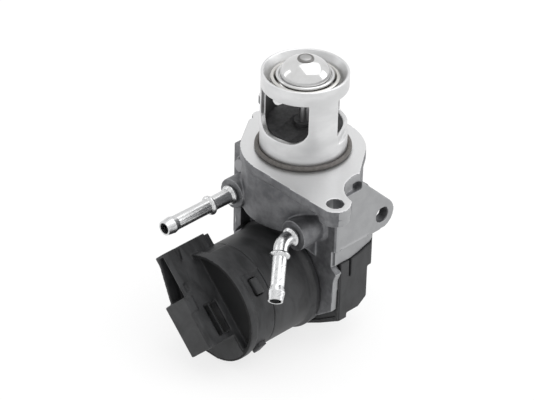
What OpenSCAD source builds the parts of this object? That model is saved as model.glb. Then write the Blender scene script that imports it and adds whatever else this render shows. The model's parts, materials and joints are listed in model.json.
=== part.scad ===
// Motor-driven exhaust gas recirculation valve.
// Origin on the valve axis at the flange's sealing face, +Z along the stem towards the poppet.
// The motor's axis is parallel to Y and the motor points towards -Y.

/* [Valve cage and head] */
// Outside diameter of the valve cage
cage_d = 47; // [44:0.5:52]
// Height of the cage above the flange
cage_h = 47; // [42:0.5:54]
// Wall of the cage beside its windows
cage_wall = 3.2; // [2.4:0.1:4]
// Wall of the rim above the seat
rim_wall = 1.2; // [0.8:0.1:2]
// Height of the closed rim above the windows
rim_h = 8.6; // [7:0.2:10]
// Depth to which the cage is pressed into the flange
cage_seat_h = 14; // [10:0.5:18]
// Angle that the side window covers
window_angle = 75; // [60:1:85]
// Angle that the front window covers
front_window_angle = 84; // [70:1:86]
// Angle that the rear window covers
rear_window_angle = 60; // [40:1:74]
// Height of the main windows' lower edge above the flange
window_low_z = 14.6; // [10:0.2:20]
// Corner radius at the foot of the main window
window_corner_r = 9; // [5:0.5:12]
// Section diameter of the sealing ring at the cage's foot
cage_ring_d = 2.6; // [2:0.1:3.6]
// Radius of the poppet's rolled lip
head_lip_r = 15.6; // [14.5:0.1:16.5]
// Radius of the dome's foot
dome_r = 13.5; // [12:0.1:13.6]
// Height of the dome above its foot
dome_h = 9.4; // [8:0.2:11]
// Diameter of the valve stem
stem_d = 5.5; // [4.5:0.1:6.5]
// Diameter of the rivet head on the stem
rivet_d = 9; // [7:0.1:10]
// Travel of the poppet from closed to open
valve_lift = 6; // [4:0.25:7]

/* [Flange and casting] */
// Radius of the round part of the flange
flange_r = 33.7; // [32:0.1:36]
// Thickness of the flange plate
flange_t = 5.5; // [4.5:0.1:7]
// Thickness of the flange at its bolt bosses
boss_t = 9.6; // [8:0.1:12]
// Distance of each bolt hole from the valve axis
bolt_reach = 57.3; // [56:0.1:60]
// Angle of the front bolt hole below the X axis
bolt_angle = 28; // [24:0.5:32]
// Diameter of the bolt holes
bolt_hole_d = 9; // [8:0.1:10]
// Radius of the front bolt ear
ear_r = 8.5; // [7.5:0.1:10]
// Radius of the rear bolt ear
rear_ear_r = 7; // [7:0.1:9]
// Face of the casting that carries the motor, in front of the valve axis
front_y = 15; // [14:0.5:18]
// Face of the casting's side plate, beside the valve axis
side_x = 41; // [39:0.5:44]
// Reach of the casting on the other side
left_x = 37; // [35:0.5:40]
// Depth of the casting's lower face under the flange
casting_z = 42; // [40:0.5:46]
// Thickness of the motor plate
plate_t = 4; // [3:0.2:5]
// Diameter of the hole in the side bracket
bracket_hole_d = 9; // [7:0.1:10]
// Place of the bracket hole behind the valve axis
bracket_y = 20.2; // [18:0.2:22]
// Depth of the bracket hole below the flange
bracket_z = 33; // [30:0.2:36]
// Thickness of the side bracket
bracket_t = 6; // [4:0.5:8]

/* [Coolant pipes] */
// Outside diameter of the coolant pipes
pipe_d = 8; // [6:0.1:10]
// Bore of the coolant pipes
pipe_bore_d = 6.2; // [4:0.1:7]
// Diameter of the pipes' beads
bead_d = 11; // [10:0.1:12.5]
// Diameter of the barb at each pipe's end
barb_d = 9.4; // [8.6:0.1:10.5]
// Radius of the casting's coolant bosses
coolant_boss_r = 8.6; // [7.5:0.1:10]
// Length of the coolant bosses
coolant_boss_l = 16; // [12:0.5:18]
// Place of the left coolant boss across the valve axis
left_pipe_x = -22; // [-24:0.5:-20]
// Depth of the left coolant boss below the flange
left_pipe_z = -27.5; // [-30:0.5:-25]
// Place of the right coolant boss across the valve axis
right_pipe_x = 25; // [23:0.5:27]
// Depth of the right coolant boss below the flange
right_pipe_z = -31; // [-33:0.5:-29]
// Bend of the right pipe
pipe_bend = 50; // [30:1:60]
// Bend radius of the right pipe's centre line
pipe_bend_r = 10; // [8:0.5:12]
// Straight length of the right pipe past its bend
pipe_bent_l = 29; // [24:0.5:34]
// Reach of the left pipe's end in front of the valve axis
pipe_reach = 80; // [70:1:90]

/* [Motor] */
// Depth of the motor's axis below the flange
motor_z = 74.5; // [73:0.1:76]
// Radius of the plastic motor housing
motor_r = 29.8; // [29:0.1:31]
// Radius of the motor housing's flange
motor_flange_r = 31.6; // [31.2:0.1:33]
// Wall of the motor housing
motor_wall = 3.6; // [3:0.1:4.2]
// Place of the seam between motor housing and end cap
seam_y = 47.5; // [45:0.5:50]
// Place of the end cap's front face
cap_y = 66; // [64:0.5:68]
// Wall of the steel motor can
can_wall = 2; // [1.5:0.1:2.4]
// Depth of the hollow in the end cap's front face
cap_hollow = 4.5; // [2:0.5:5]
// Radial thickness of the magnets
magnet_t = 4.2; // [3:0.1:4.6]
// Diameter of the motor shaft
motor_shaft_d = 5; // [4:0.1:5.6]
// Angle by which the connector is turned from straight down
connector_angle = 45; // [35:1:50]
// Width of the connector's hood
hood_w = 20.5; // [18:0.5:22]
// Thickness of the connector's hood
hood_t = 8.6; // [8:0.1:9.4]
// Length of the connector's hood
hood_l = 30.3; // [26:0.1:32]
// Number of connector pins
pin_count = 5; // [3:1:5]
// Distance between connector pins
pin_pitch = 3; // [2.5:0.1:3.2]

/* [Gear train] */
// Module of the gears' teeth
tooth_module = 0.9; // [0.88:0.005:0.92]
// Teeth on the motor pinion
pinion_teeth = 11; // [11:1:11]
// Teeth on the large intermediate gear
large_teeth = 34; // [34:1:34]
// Teeth on the small intermediate gear
small_teeth = 12; // [12:1:12]
// Teeth on the full circle of the sector gear
sector_teeth = 44; // [44:1:44]
// Angle that the crank turns over the full lift
crank_angle = 50; // [46:1:52]
// Width of each gear
gear_w = 3.6; // [3:0.1:3.8]
// Depth of the output shaft below the flange
output_z = 58; // [57.5:0.1:58.5]
// Diameter of the output shaft
output_d = 8; // [7:0.1:8]
// Diameter of the crank roller
roller_d = 7; // [6:0.1:7.4]

/* [Gear cover] */
// Reach of the gear cover behind the valve axis
cover_y = 25; // [25:0.1:26]
// Wall of the gear cover
cover_wall = 2.6; // [2:0.1:2.8]
// Depth of the cover's upper edge below the flange
cover_top_z = 47.5; // [46.5:0.1:49]

/* [Clearances] */
// Radial gap of a pressed or seated fit
fit_gap = 0.02; // [0.01:0.01:0.03]
// Radial gap of a shaft running in its bearing
run_gap = 0.05; // [0.02:0.01:0.08]
// Gap between pieces that only lie beside each other
part_gap = 0.3; // [0.2:0.05:0.4]

/* [Hidden] */

// Fineness of the round surfaces
fine = 96;
coarse = 32;
$fn = fine;

cage_r = cage_d / 2;
cage_bore_r = cage_r - cage_wall;
rim_bore_r = cage_r - rim_wall;
window_top_z = cage_h - rim_h;
stem_r = stem_d / 2;
left_gap = 0.1;

// Seat ring and poppet, measured down from the rim
seat_z = cage_h - 3.8;
seat_land = 2.7;
seat_cone = 2.2;
seat_r = head_lip_r + seat_land;
seat_bore_r = seat_r - seat_land - seat_cone;
seat_low_z = window_top_z - 1.6;
lip_z = seat_z + 1.2;
dome_z = cage_h - 1.9;
head_low_z = cage_h - 9;
rivet_z = dome_z + dome_h * sqrt(1 - pow(rivet_d / 2 / dome_r, 2));
rivet_t = 1;

// Crank mechanism: the eccentric's radius follows from lift and angle
crank_r = valve_lift / (2 * sin(crank_angle / 2));
output_x = -crank_r * (1 + cos(crank_angle / 2)) / 2;
roller_r = roller_d / 2;
crank_x = output_x + crank_r * cos(crank_angle / 2);
crank_z = -output_z - crank_r * sin(crank_angle / 2);
yoke_gap = 0.08;
slot_half = roller_r + yoke_gap + crank_r * (1 - cos(crank_angle / 2)) / 2 + 0.25;
yoke_wall = 3;
yoke_t = 3;
yoke_h = roller_r + yoke_gap + yoke_wall;
shaft_front_y = yoke_t + 0.4;
disc_t = 1.7;
web_y = shaft_front_y + disc_t + part_gap;
web_t = 4.4;
gear_a_y = web_y + web_t + 0.6;
gear_b_y = gear_a_y + gear_w + 0.8;
output_end_y = cover_y - cover_wall - part_gap;

// Gear places: the intermediate axis closes the triangle of both centre distances
pinion_r = tooth_module * pinion_teeth / 2;
large_r = tooth_module * large_teeth / 2;
small_r = tooth_module * small_teeth / 2;
sector_r = tooth_module * sector_teeth / 2;
mesh_gap = 0.06;
d_mi = pinion_r + large_r + mesh_gap;
d_oi = small_r + sector_r + mesh_gap;
d_mo = norm([output_x, motor_z - output_z]);
to_o = [output_x, motor_z - output_z] / d_mo;
along = (d_mi * d_mi - d_oi * d_oi + d_mo * d_mo) / (2 * d_mo);
across = sqrt(d_mi * d_mi - along * along);
inter_x = to_o[0] * along + to_o[1] * across;
inter_z = -motor_z + to_o[1] * along - to_o[0] * across;
inter_pin_d = 4;
// Directions of the meshes, as angles from +X towards +Z
mesh_a = atan2(inter_z + motor_z, inter_x);
mesh_b = atan2(inter_z + output_z, inter_x - output_x);
sector_low = mesh_b - crank_angle - 9;
sector_high = mesh_b + 9;

// Gear cover
cover_in_y = cover_y - cover_wall;
cover_seal_t = 0.8;
cover_front_y = -front_y + plate_t + cover_seal_t + 2 * fit_gap;
cover_low_z = 103.5;
cover_corner_z = 88.6;

// Motor
motor_front_y = -front_y - part_gap;
can_front_y = motor_front_y - 3.8;
cap_wall = 2.6;
cap_in_y = -cap_y + cap_hollow + cap_wall;
can_back_y = cap_in_y + 3.9;
can_r = motor_r - motor_wall - fit_gap;
can_bore_r = can_r - can_wall;
spigot_y = cap_in_y + 1.3;
magnet_in_r = can_bore_r - 0.1 - magnet_t;
armature_r = magnet_in_r - 0.6;
motor_shaft_r = motor_shaft_d / 2;
nose_r = 8;
housing_bore_r = motor_r - motor_wall;
cap_bore_r = motor_r - 2.4;

// Connector in the cap's own turned frame: x across, y along the motor, z against the plug's way in
hood_x1 = 7;
hood_x0 = hood_x1 - hood_w;
hood_y0 = -(cap_y + 17);
hood_z0 = -18.3;
hood_z1 = hood_z0 + hood_l;
hood_wall = 1.5;
bar_z1 = 37.5;

// A box between two corners
module block(a, b) {
  translate(a) cube(b - a);
}

// A cylinder along Y from y0 to y1
module y_rod(r, y0, y1, x = 0, z = 0) {
  translate([x, y1, z]) rotate([90, 0, 0]) cylinder(r = r, h = y1 - y0);
}

// A tube along Y from y0 to y1
module y_tube(r, bore, y0, y1, x = 0, z = 0) {
  translate([x, y1, z]) rotate([90, 0, 0]) difference() {
    cylinder(r = r, h = y1 - y0);
    translate([0, 0, -1]) cylinder(r = bore, h = y1 - y0 + 2);
  }
}

// A plate along Y from y0 to y1, from an outline drawn in X and Z
module y_plate(y0, y1) {
  translate([0, y1, 0]) rotate([90, 0, 0]) linear_extrude(y1 - y0) children();
}

// Two circles with the tangents between them, as one outline
module tangent_pair(c1, r1, c2, r2) {
  d = norm(c2 - c1);
  turn = atan2(c2[1] - c1[1], c2[0] - c1[0]);
  open = acos((r1 - r2) / d);
  translate(c1) circle(r = r1);
  translate(c2) circle(r = r2);
  polygon([for (s = [1, -1]) c1 + r1 * [cos(turn + s * open), sin(turn + s * open)],
           for (s = [-1, 1]) c2 + r2 * [cos(turn + s * open), sin(turn + s * open)]]);
}

// Outline of a straight-flanked gear: teeth cut as trapeziums on the pitch circle
function gear_points(teeth, r_pitch, first, last) =
  let (p = 360 / teeth, ra = r_pitch + tooth_module * 0.85, rf = r_pitch - tooth_module * 1.1)
  [for (i = [first : last]) for (k = [[-0.30, rf], [-0.12, ra], [0.12, ra], [0.30, rf]])
    k[1] * [cos((i + k[0]) * p), sin((i + k[0]) * p)]];

// A whole gear with one tooth on its own +X axis
module gear_outline(teeth, r_pitch) {
  polygon(gear_points(teeth, r_pitch, 0, teeth - 1));
}

// A round wire along a path: rings of eight points joined to one closed solid
module wire(path, r, sides = 8) {
  n = len(path);
  rings = [for (i = [0 : n - 1])
    let (t = path[min(i + 1, n - 1)] - path[max(i - 1, 0)], w = t / norm(t),
         u0 = cross(w, [0, 1, 0.013]), u = u0 / norm(u0), v = cross(w, u))
    for (k = [0 : sides - 1]) path[i] + r * (u * cos(360 * k / sides) + v * sin(360 * k / sides))];
  faces = concat(
    [[for (k = [0 : sides - 1]) k]],
    [for (i = [0 : n - 2]) for (k = [0 : sides - 1])
      let (a = i * sides + k, b = i * sides + (k + 1) % sides) [a, a + sides, b + sides, b]],
    [[for (k = [sides - 1 : -1 : 0]) (n - 1) * sides + k]]);
  polyhedron(rings, faces, convexity = 6);
}

// A screw with a flanged hexagon head, its shank along +Y from the head's seat
module screw(r, l) {
  y_rod(r, 0, l);
  y_rod(r * 2, -1, 0);
  translate([0, -1, 0]) rotate([90, 0, 0]) cylinder(r = r * 1.65, h = 2.2, $fn = 6);
}

// Valve cage

// One window through the cage's wall, with a rounded foot
module window_cut(mid, low, corner, wide) {
  half_w = cage_r * sin(wide / 2);
  rotate([0, 0, mid]) translate([14, 0, 0]) rotate([90, 0, 90]) linear_extrude(cage_r)
    polygon([[-half_w, window_top_z], for (s = [-1, 1], a = s < 0 ? [180 : 10 : 270] : [270 : 10 : 360])
      [s * (half_w - corner) + corner * cos(a), low + corner + corner * sin(a)], [half_w, window_top_z]]);
}

flat_angle = 30;
flat_z = 10.6;
side_window_z = 15.4;
module valve_cage() color("Gainsboro") difference() {
  translate([0, 0, -cage_seat_h + left_gap]) cylinder(r = cage_r, h = cage_h + cage_seat_h - left_gap);
  translate([0, 0, -cage_seat_h - 1]) cylinder(r = cage_bore_r, h = cage_seat_h + 0.7 + window_top_z);
  translate([0, 0, window_top_z - 1]) cylinder(r = seat_r + fit_gap, h = rim_h + 2);
  translate([0, 0, window_top_z + 2.2]) cylinder(r1 = seat_r + 0.8, r2 = rim_bore_r + 0.5, h = rim_h - 1.2);
  window_cut(-40 - front_window_angle / 2, window_low_z, window_corner_r, front_window_angle);
  window_cut(125 + rear_window_angle / 2, window_low_z, window_corner_r - 1, rear_window_angle);
  window_cut(42.5, side_window_z, 1.5, window_angle);
  // a milled flat below the side window
  rotate([0, 0, flat_angle])
    block([cage_r * cos(flat_angle - 6), -cage_r, flat_z], [cage_r * 2, cage_r, window_top_z - 0.2]);
}

module cage_ring() color("DimGray")
  translate([0, 0, cage_ring_d / 2 + fit_gap]) rotate_extrude()
    translate([cage_r + cage_ring_d / 2 + fit_gap, 0]) circle(d = cage_ring_d, $fn = coarse);

module seat_ring() color("Silver") rotate_extrude() polygon([
  [seat_bore_r, seat_low_z], [seat_r + 1.2, seat_low_z], [seat_r + 1.2, window_top_z - fit_gap - 1.2],
  [seat_r, window_top_z - 1.2], [seat_r, seat_z + 0.4], [seat_r - 0.8, seat_z + 0.8], [seat_r - seat_land + 1.2, seat_z + 0.8],
  [seat_r - seat_land + 0.5, seat_z], [seat_bore_r, seat_z - 3]]);

bowl_r = 17;
bowl_z = 31;
guide_top_z = 15.8;
tower_r = 9;
bush_r = 5.5;
bush_top_z = 16.8;
module gas_guide() color("DimGray") difference() {
  union() {
    translate([0, 0, -cage_seat_h + left_gap]) cylinder(r = cage_bore_r - fit_gap, h = guide_top_z + cage_seat_h - left_gap);
  }
  translate([0, 0, -cage_seat_h - 1]) cylinder(r = bush_r + fit_gap, h = 60);
  translate([0, 0, -cage_seat_h - 1]) cylinder(r1 = tower_r + 1 + fit_gap, r2 = tower_r + 2 * fit_gap, h = cage_seat_h + 1 + part_gap);
  translate([0, 0, bowl_z]) sphere(r = bowl_r, $fn = 64);
  rotate([0, 0, -40 - front_window_angle / 2]) translate([0, 0, bowl_z]) rotate([0, 90, 0]) cylinder(r = bowl_r - 0.6, h = cage_r);
}

module guide_bush() color("DarkKhaki") difference() {
  translate([0, 0, -36]) cylinder(r = bush_r, h = 36 + bush_top_z);
  translate([0, 0, -37]) cylinder(r = stem_r + run_gap, h = 60);
}

seal_r = 8;
seal_h = 4.7;
seal_z = -casting_z + 1;
module stem_seal() color("SaddleBrown") difference() {
  translate([0, 0, seal_z]) cylinder(r = seal_r, h = seal_h);
  translate([0, 0, seal_z - 1]) cylinder(r = stem_r + run_gap, h = seal_h + 2);
}

// Poppet head: conical seat, rolled lip, trough and dome
module poppet_head() color("WhiteSmoke") rotate_extrude() polygon([
  [stem_r + fit_gap, head_low_z], [8.5, head_low_z], [seat_bore_r - 0.5, seat_z - 2.9],
  [head_lip_r - 0.15, seat_z + 0.35], [head_lip_r, lip_z - 0.3],
  for (a = [0 : 30 : 180]) [head_lip_r - 0.9 + 0.9 * cos(a), lip_z + 0.9 * sin(a)],
  [dome_r, lip_z + 0.1],
  for (a = [0 : 8 : 64]) [dome_r * cos(a), dome_z + dome_h * sin(a)],
  [rivet_d / 2, rivet_z], [stem_r + fit_gap, rivet_z]]);

module valve_stem() color("Silver") {
  translate([0, 0, crank_z + yoke_h - 2]) cylinder(r = stem_r, h = rivet_z + rivet_t * 0.6 - crank_z - yoke_h + 2);
  translate([0, 0, rivet_z + fit_gap]) cylinder(r1 = rivet_d / 2, r2 = rivet_d / 2 - 0.5, h = rivet_t);
}

// Slotted yoke on the stem's lower end
module crosshead() color("SlateGray") difference() {
  block([-slot_half - yoke_wall, -yoke_t, crank_z - yoke_h], [slot_half + yoke_wall, yoke_t, crank_z + yoke_h]);
  for (s = [-1, 1]) y_rod(roller_r + yoke_gap, -yoke_t - 1, yoke_t + 1, s * (slot_half - roller_r - yoke_gap), crank_z);
  block([-slot_half + roller_r, -yoke_t - 1, crank_z - roller_r - yoke_gap],
        [slot_half - roller_r, yoke_t + 1, crank_z + roller_r + yoke_gap]);
  translate([0, 0, crank_z + yoke_h - 2]) cylinder(r = stem_r + fit_gap, h = 3);
}

// Casting

bolt_front = bolt_reach * [cos(bolt_angle), -sin(bolt_angle)];
notch = [57, -0.5];
notch_r = 18.2;
ear_inset = 0.05;
ear_t = flange_t - 0.4;

// One bolt ear and the notch beside it, joined to the flange's disc
module flange_ear(r) rotate([0, 0, -bolt_angle]) {
  open = acos((flange_r - r) / bolt_reach);
  difference() {
    union() {
      translate([bolt_reach, 0, -ear_t]) cylinder(r = r, h = ear_t);
      translate([0, 0, -ear_t]) linear_extrude(ear_t) polygon([[10, 0], for (s = [-1, 1], end = s < 0 ? [0, 1] : [1, 0])
        [end * bolt_reach, 0] + ((end > 0 ? r : flange_r) - ear_inset) * [cos(open), s * sin(open)]]);
    }
    rotate([0, 0, bolt_angle]) translate([notch[0], notch[1], -flange_t - 1]) cylinder(r = notch_r, h = flange_t + 2);
  }
}

// Wall of the casting under the flange, at the front notch
module notch_wall() difference() {
  rotate([0, 0, -bolt_angle]) translate([0, 0, -boss_t - 0.6]) linear_extrude(boss_t - 0.6)
    polygon([[20, 0], [24, 22.4], [bolt_reach - 8, 9.4], [bolt_reach - 8, 0]]);
  translate([notch[0], notch[1], -boss_t - 2]) cylinder(r = notch_r + 0.25, h = boss_t + 4);
}

module flange() {
  translate([0, 0, -flange_t]) cylinder(r = flange_r, h = flange_t);
  flange_ear(ear_r);
  rotate([0, 0, 180]) flange_ear(rear_ear_r);
  translate([-37.2, 5, -ear_t]) cylinder(r = 5, h = ear_t);
}

body_r = 32.6;
jacket_r = 27;
skirt_z = 52;
web_low_z = 82.6;
block_top_z = -boss_t + 0.8;

// Motor plate: a plain outline round the motor's flange
module motor_plate() {
  y_rod(motor_flange_r - 0.3, -front_y, -front_y + plate_t, 0, -motor_z);
  y_plate(-front_y, -front_y + plate_t)
    polygon([[-left_x, -casting_z + 4], [side_x - 3, -casting_z + 4], [side_x - 3, -52], [side_x + 1.2, -55.5],
      [side_x - 0.8, -61], [side_x - 1.4, -80.6], [30, -88], [-22, -88], [-left_x + 3, -80], [-left_x, -66]]);
}

// A rectangle between two corners
module block_2d(a, b) {
  translate(a) square(b - a);
}

// A boss for a coolant pipe
module coolant_boss(x, z) {
  y_rod(coolant_boss_r, -front_y - coolant_boss_l, -front_y + 2, x, z);
  y_rod(coolant_boss_r + 0.9, -front_y - 1.2, -front_y + 1, x, z);
}

// Gusset under the right boss, and the rib from the left boss down to the motor
module boss_ribs() {
  translate([right_pipe_x - 1.5, 0, right_pipe_z]) rotate([90, 0, 90]) linear_extrude(3)
    polygon([[-front_y - 11, -coolant_boss_r + 1], [-front_y + 1, -coolant_boss_r + 1], [-front_y + 1, -19.6], [-front_y - 0.8, -19.2]]);
  difference() {
    block([left_pipe_x - 6.7, -front_y - 7, -66], [left_pipe_x - 2, -front_y + 1, left_pipe_z - 6]);
    y_rod(motor_flange_r + 0.6, -front_y - 8, -front_y, 0, -motor_z);
  }
}

module coolant_bore(x, z) {
  y_rod(pipe_d / 2 + fit_gap, -front_y - coolant_boss_l - 1, -front_y - 2, x, z);
  y_rod(pipe_bore_d / 2, -front_y - 3, -4, x, z);
}

// The side bracket's outline, in Y and Z
module bracket_outline() polygon([[-front_y + 2, -boss_t], [2.8, -boss_t], [3.6, -4.6],
  for (a = [46 : -17 : -73]) [bracket_y + 9 * cos(a), -bracket_z + 9 * sin(a)],
  [bracket_y - 1, -casting_z], [-front_y + 2, -casting_z]]);

// Thick part under a bolt ear
module bolt_boss(r) rotate([0, 0, -bolt_angle]) {
  translate([bolt_reach, 0, -boss_t]) cylinder(r = r, h = boss_t - 1);
  block([28, -r + 1.7, -boss_t], [bolt_reach - 1, r - 1.7, -1]);
}

// Side outline of the skirt, in Y and Z; the cover's wall is cut to the same wave
skirt_end_y = 14.6;
module skirt_outline(gap) polygon([[-front_y + 1, -casting_z + 2], [-front_y + 1, -skirt_z + 0.6 + gap], [-1.8, -skirt_z + 0.6 + gap],
  [3, -skirt_z + 1.5 + gap], [8, -skirt_z + 3.2 + gap], [12.4 - gap, -skirt_z + 4.2 + gap], [skirt_end_y - gap, -skirt_z + 6 + gap],
  [skirt_end_y - gap, -casting_z + 2]]);

module valve_housing() color("LightGray") difference() {
  union() {
    // flange with its bolt bosses
    flange();
    bolt_boss(ear_r - 0.4);
    notch_wall();
    rotate([0, 0, 180]) bolt_boss(rear_ear_r - 0.4);
    // round body and the block that carries the motor plate
    difference() {
      translate([0, 0, -casting_z]) cylinder(r = body_r, h = casting_z - 1);
      block([-60, -60, -casting_z - 1], [60, -front_y, -casting_z + 7.4]);
    }
    block([-left_x, -front_y, -casting_z], [side_x - 1, 9, block_top_z]);
    block([side_x - 8, -front_y + 2, -casting_z], [side_x, 6, block_top_z]);
    block([side_x - 8, -front_y, -casting_z], [side_x - 2, 0, block_top_z]);
    translate([side_x - 2, -front_y + 2, -casting_z]) cylinder(r = 1.98, h = casting_z + block_top_z);
    // ledge along the side plate's foot
    block([side_x - 1.5, -front_y + 3.4, -casting_z + 0.1], [side_x + 0.6, 9.9, -casting_z + 1.2]);
    // side bracket
    translate([side_x - bracket_t, 0, 0]) rotate([90, 0, 90]) linear_extrude(bracket_t) bracket_outline();
    // shelf over the gear chamber, and the skirts above the cover's side walls
    block([-left_x, -front_y + 1, -casting_z], [side_x - 1, skirt_end_y - part_gap, -casting_z + 4]);
    translate([side_x - 4.6, 0, 0]) rotate([90, 0, 90]) linear_extrude(3.6) skirt_outline(part_gap);
    translate([-left_x + 1, 0, 0]) rotate([90, 0, 90]) linear_extrude(3.6) skirt_outline(part_gap);
    coolant_boss(left_pipe_x, left_pipe_z);
    coolant_boss(right_pipe_x, right_pipe_z);
    boss_ribs();
    // core plug boss and cast nub
    y_rod(5.4, -front_y - 3, -front_y + 6, -27, -17);
    translate([16.5, -front_y + 1, -29]) rotate([90, 0, 0]) cylinder(r = 4, h = 4);
    // motor plate
    motor_plate();
    // bearing web behind the crosshead, hung from the body
    block([-24, web_y, -web_low_z], [33.5, web_y + web_t, -casting_z + 1]);
    // posts that tie the web to the motor plate
    for (p = cover_screw_places) y_rod(cover_post_r + 0.2, -front_y + 1, web_y + web_t, p[0], p[1]);
  }
  // cage bore, with the guide tower left standing in it
  difference() {
    translate([0, 0, -cage_seat_h]) cylinder(r = cage_r + fit_gap, h = cage_seat_h + 1);
    translate([0, 0, -cage_seat_h - 1]) cylinder(r1 = tower_r + 1, r2 = tower_r, h = cage_seat_h + 1);
  }
  translate([0, 0, -36 - fit_gap]) cylinder(r = bush_r + fit_gap, h = 60);
  translate([0, 0, seal_z - 2]) cylinder(r = seal_r + fit_gap, h = seal_h + 2.5);
  // coolant jacket round the guide
  difference() {
    translate([0, 0, -32]) cylinder(r = jacket_r, h = 13);
    translate([0, 0, -36]) cylinder(r = 10, h = 18);
  }
  // bolt holes and bracket hole
  for (s = [0, 180]) rotate([0, 0, s]) translate([bolt_front[0], bolt_front[1], -boss_t - 60])
    cylinder(d = bolt_hole_d, h = boss_t + 61);
  translate([side_x - bracket_t - 2, bracket_y, -bracket_z]) rotate([0, 90, 0])
    cylinder(d = bracket_hole_d, h = bracket_t + 3);
  coolant_bore(left_pipe_x, left_pipe_z);
  coolant_bore(right_pipe_x, right_pipe_z);
  y_rod(4 + fit_gap, -front_y - 7, -front_y + 3, -27, -17);
  // motor nose, output bearing, intermediate pin, motor shaft through the web
  y_rod(nose_r + fit_gap, -front_y - 1, -front_y + plate_t + 3, 0, -motor_z);
  y_rod(output_d + fit_gap, web_y - 1, web_y + web_t + 1, output_x, -output_z);
  y_rod(inter_pin_d / 2 + fit_gap, web_y - 1, web_y + web_t + 1, inter_x, inter_z);
  y_rod(motor_shaft_r + 1.5, web_y - 1, web_y + web_t + 1, 0, -motor_z);
  // screw holes for the motor and the cover
  for (p = motor_screw_places) y_rod(motor_screw_r + fit_gap, -front_y - 1, -front_y + plate_t + 1, p[0], p[1]);
  for (p = cover_screw_places) y_rod(cover_screw_r + fit_gap, web_y - 5, 30, p[0], p[1]);
}

module core_plug() color("DarkGray") y_rod(4, -front_y - 5.5, -front_y + 2.9, -27, -17);

// Coolant pipes

// A ring bead round a pipe along Z, centred on z
module bead(z) translate([0, 0, z]) rotate_extrude() translate([pipe_d / 2 - 0.6, 0])
  intersection() {
    scale([1, 0.75]) circle(r = (bead_d - pipe_d) / 2 + 0.6, $fn = coarse);
    block_2d([0, -3], [6, 3]);
  }

// The free end of a pipe along +Z, with a bead and a barb
module pipe_end(l, bead_z) {
  cylinder(d = pipe_d, h = l - 3);
  bead(bead_z);
  translate([0, 0, l - 8]) cylinder(d1 = pipe_d, d2 = barb_d, h = 3);
  translate([0, 0, l - 5]) cylinder(d1 = barb_d, d2 = pipe_d, h = 5);
}

pipe_root = 9;
straight_l = pipe_reach - front_y - coolant_boss_l + pipe_root;
module coolant_pipe_straight() color("Silver")
  translate([left_pipe_x, -front_y - coolant_boss_l + pipe_root, left_pipe_z]) rotate([90, 0, 0]) difference() {
    union() {
      pipe_end(straight_l, straight_l - 32.5);
      bead(pipe_root + 1.62);
    }
    translate([0, 0, -1]) cylinder(d = pipe_bore_d, h = straight_l + 2);
  }

// The bent pipe's first straight and its bend, as a solid of diameter d
bent_start = 4;
bend_step = 0.06;
module bent_run(d, more) {
  rotate([90, 0, 0]) translate([0, 0, -pipe_root - more]) cylinder(d = d, h = pipe_root + bent_start + more);
  translate([pipe_bend_r, -bent_start, 0]) rotate([0, 0, 180]) rotate_extrude(angle = pipe_bend)
    translate([pipe_bend_r, 0]) circle(d = d, $fn = 48);
}

// Frame of the straight past the bend, its own +Z along the pipe
module past_bend() translate([pipe_bend_r * (1 - cos(pipe_bend)), -bent_start - pipe_bend_r * sin(pipe_bend), 0])
  rotate([0, 0, pipe_bend]) rotate([90, 0, 0]) children();

module coolant_pipe_bent() color("Silver")
  translate([right_pipe_x, -front_y - coolant_boss_l, right_pipe_z]) rotate([0, 45, 0]) difference() {
    union() {
      bent_run(pipe_d - bend_step, 0);
      rotate([90, 0, 0]) bead(1.62);
      past_bend() pipe_end(pipe_bent_l, 3);
    }
    bent_run(pipe_bore_d - bend_step, 1);
    past_bend() cylinder(d = pipe_bore_d, h = pipe_bent_l + 2);
  }

// Crank and output

module crank_shaft() color("Silver") {
  y_rod(output_d / 2 - run_gap, shaft_front_y, output_end_y, output_x, -output_z);
  y_plate(shaft_front_y, shaft_front_y + disc_t)
    tangent_pair([output_x, -output_z], 6.5, [crank_x, crank_z], 3.6);
  y_rod(2, -yoke_t - 0.6, shaft_front_y + 0.5, crank_x, crank_z);
  y_rod(3, -yoke_t - 1.4, -yoke_t - 0.5, crank_x, crank_z);
}

module crank_roller() color("DarkGray") y_tube(roller_r, 2 + fit_gap, -yoke_t - 0.3, yoke_t + 0.2, crank_x, crank_z);

module sector_gear() color("Ivory") y_plate(gear_b_y, gear_b_y + gear_w) translate([output_x, -output_z]) difference() {
  union() {
    circle(r = 9.5);
    polygon([[0, 0], each [for (q = gear_points(sector_teeth, sector_r,
      ceil((sector_low - mesh_b) * sector_teeth / 360), floor((sector_high - mesh_b) * sector_teeth / 360)))
      [q[0] * cos(mesh_b) - q[1] * sin(mesh_b), q[0] * sin(mesh_b) + q[1] * cos(mesh_b)]]]);
  }
  circle(r = output_d / 2 - run_gap + fit_gap);
  for (a = [sector_low + 16 : 20 : sector_high - 14]) rotate(a) translate([14.2, 0]) circle(r = 1.7);
}

magnet_low = 60;
module sensor_magnet() color("DimGray") y_plate(gear_b_y + gear_w + fit_gap, gear_b_y + gear_w + 1) translate([output_x, -output_z])
  difference() {
    circle(r = 9.3);
    circle(r = 6.6);
    polygon([[0, 0], for (a = [magnet_low + 140 : 20 : magnet_low + 360]) 20 * [cos(a), sin(a)]]);
  }

// A ball bearing as two rings and its balls, closed by side shields
module bearing(r_in, r_out, y0, y1, x, z) {
  y_tube(r_out, r_out - 1.2, y0, y1, x, z);
  y_tube(r_in + 1.2, r_in, y0, y1, x, z);
  y_tube(r_out - 1.1, r_in + 1.1, y0 + 0.5, y1 - 0.5, x, z);
}

module output_bearing_front() color("LightSteelBlue")
  bearing(output_d / 2, output_d, web_y, web_y + web_t, output_x, -output_z);

rear_bearing_y = gear_b_y + gear_w + 1.3;
module output_bearing_rear() color("LightSteelBlue")
  bearing(output_d / 2, output_d / 2 + 2.9, rear_bearing_y, cover_in_y - fit_gap, output_x, -output_z);

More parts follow.
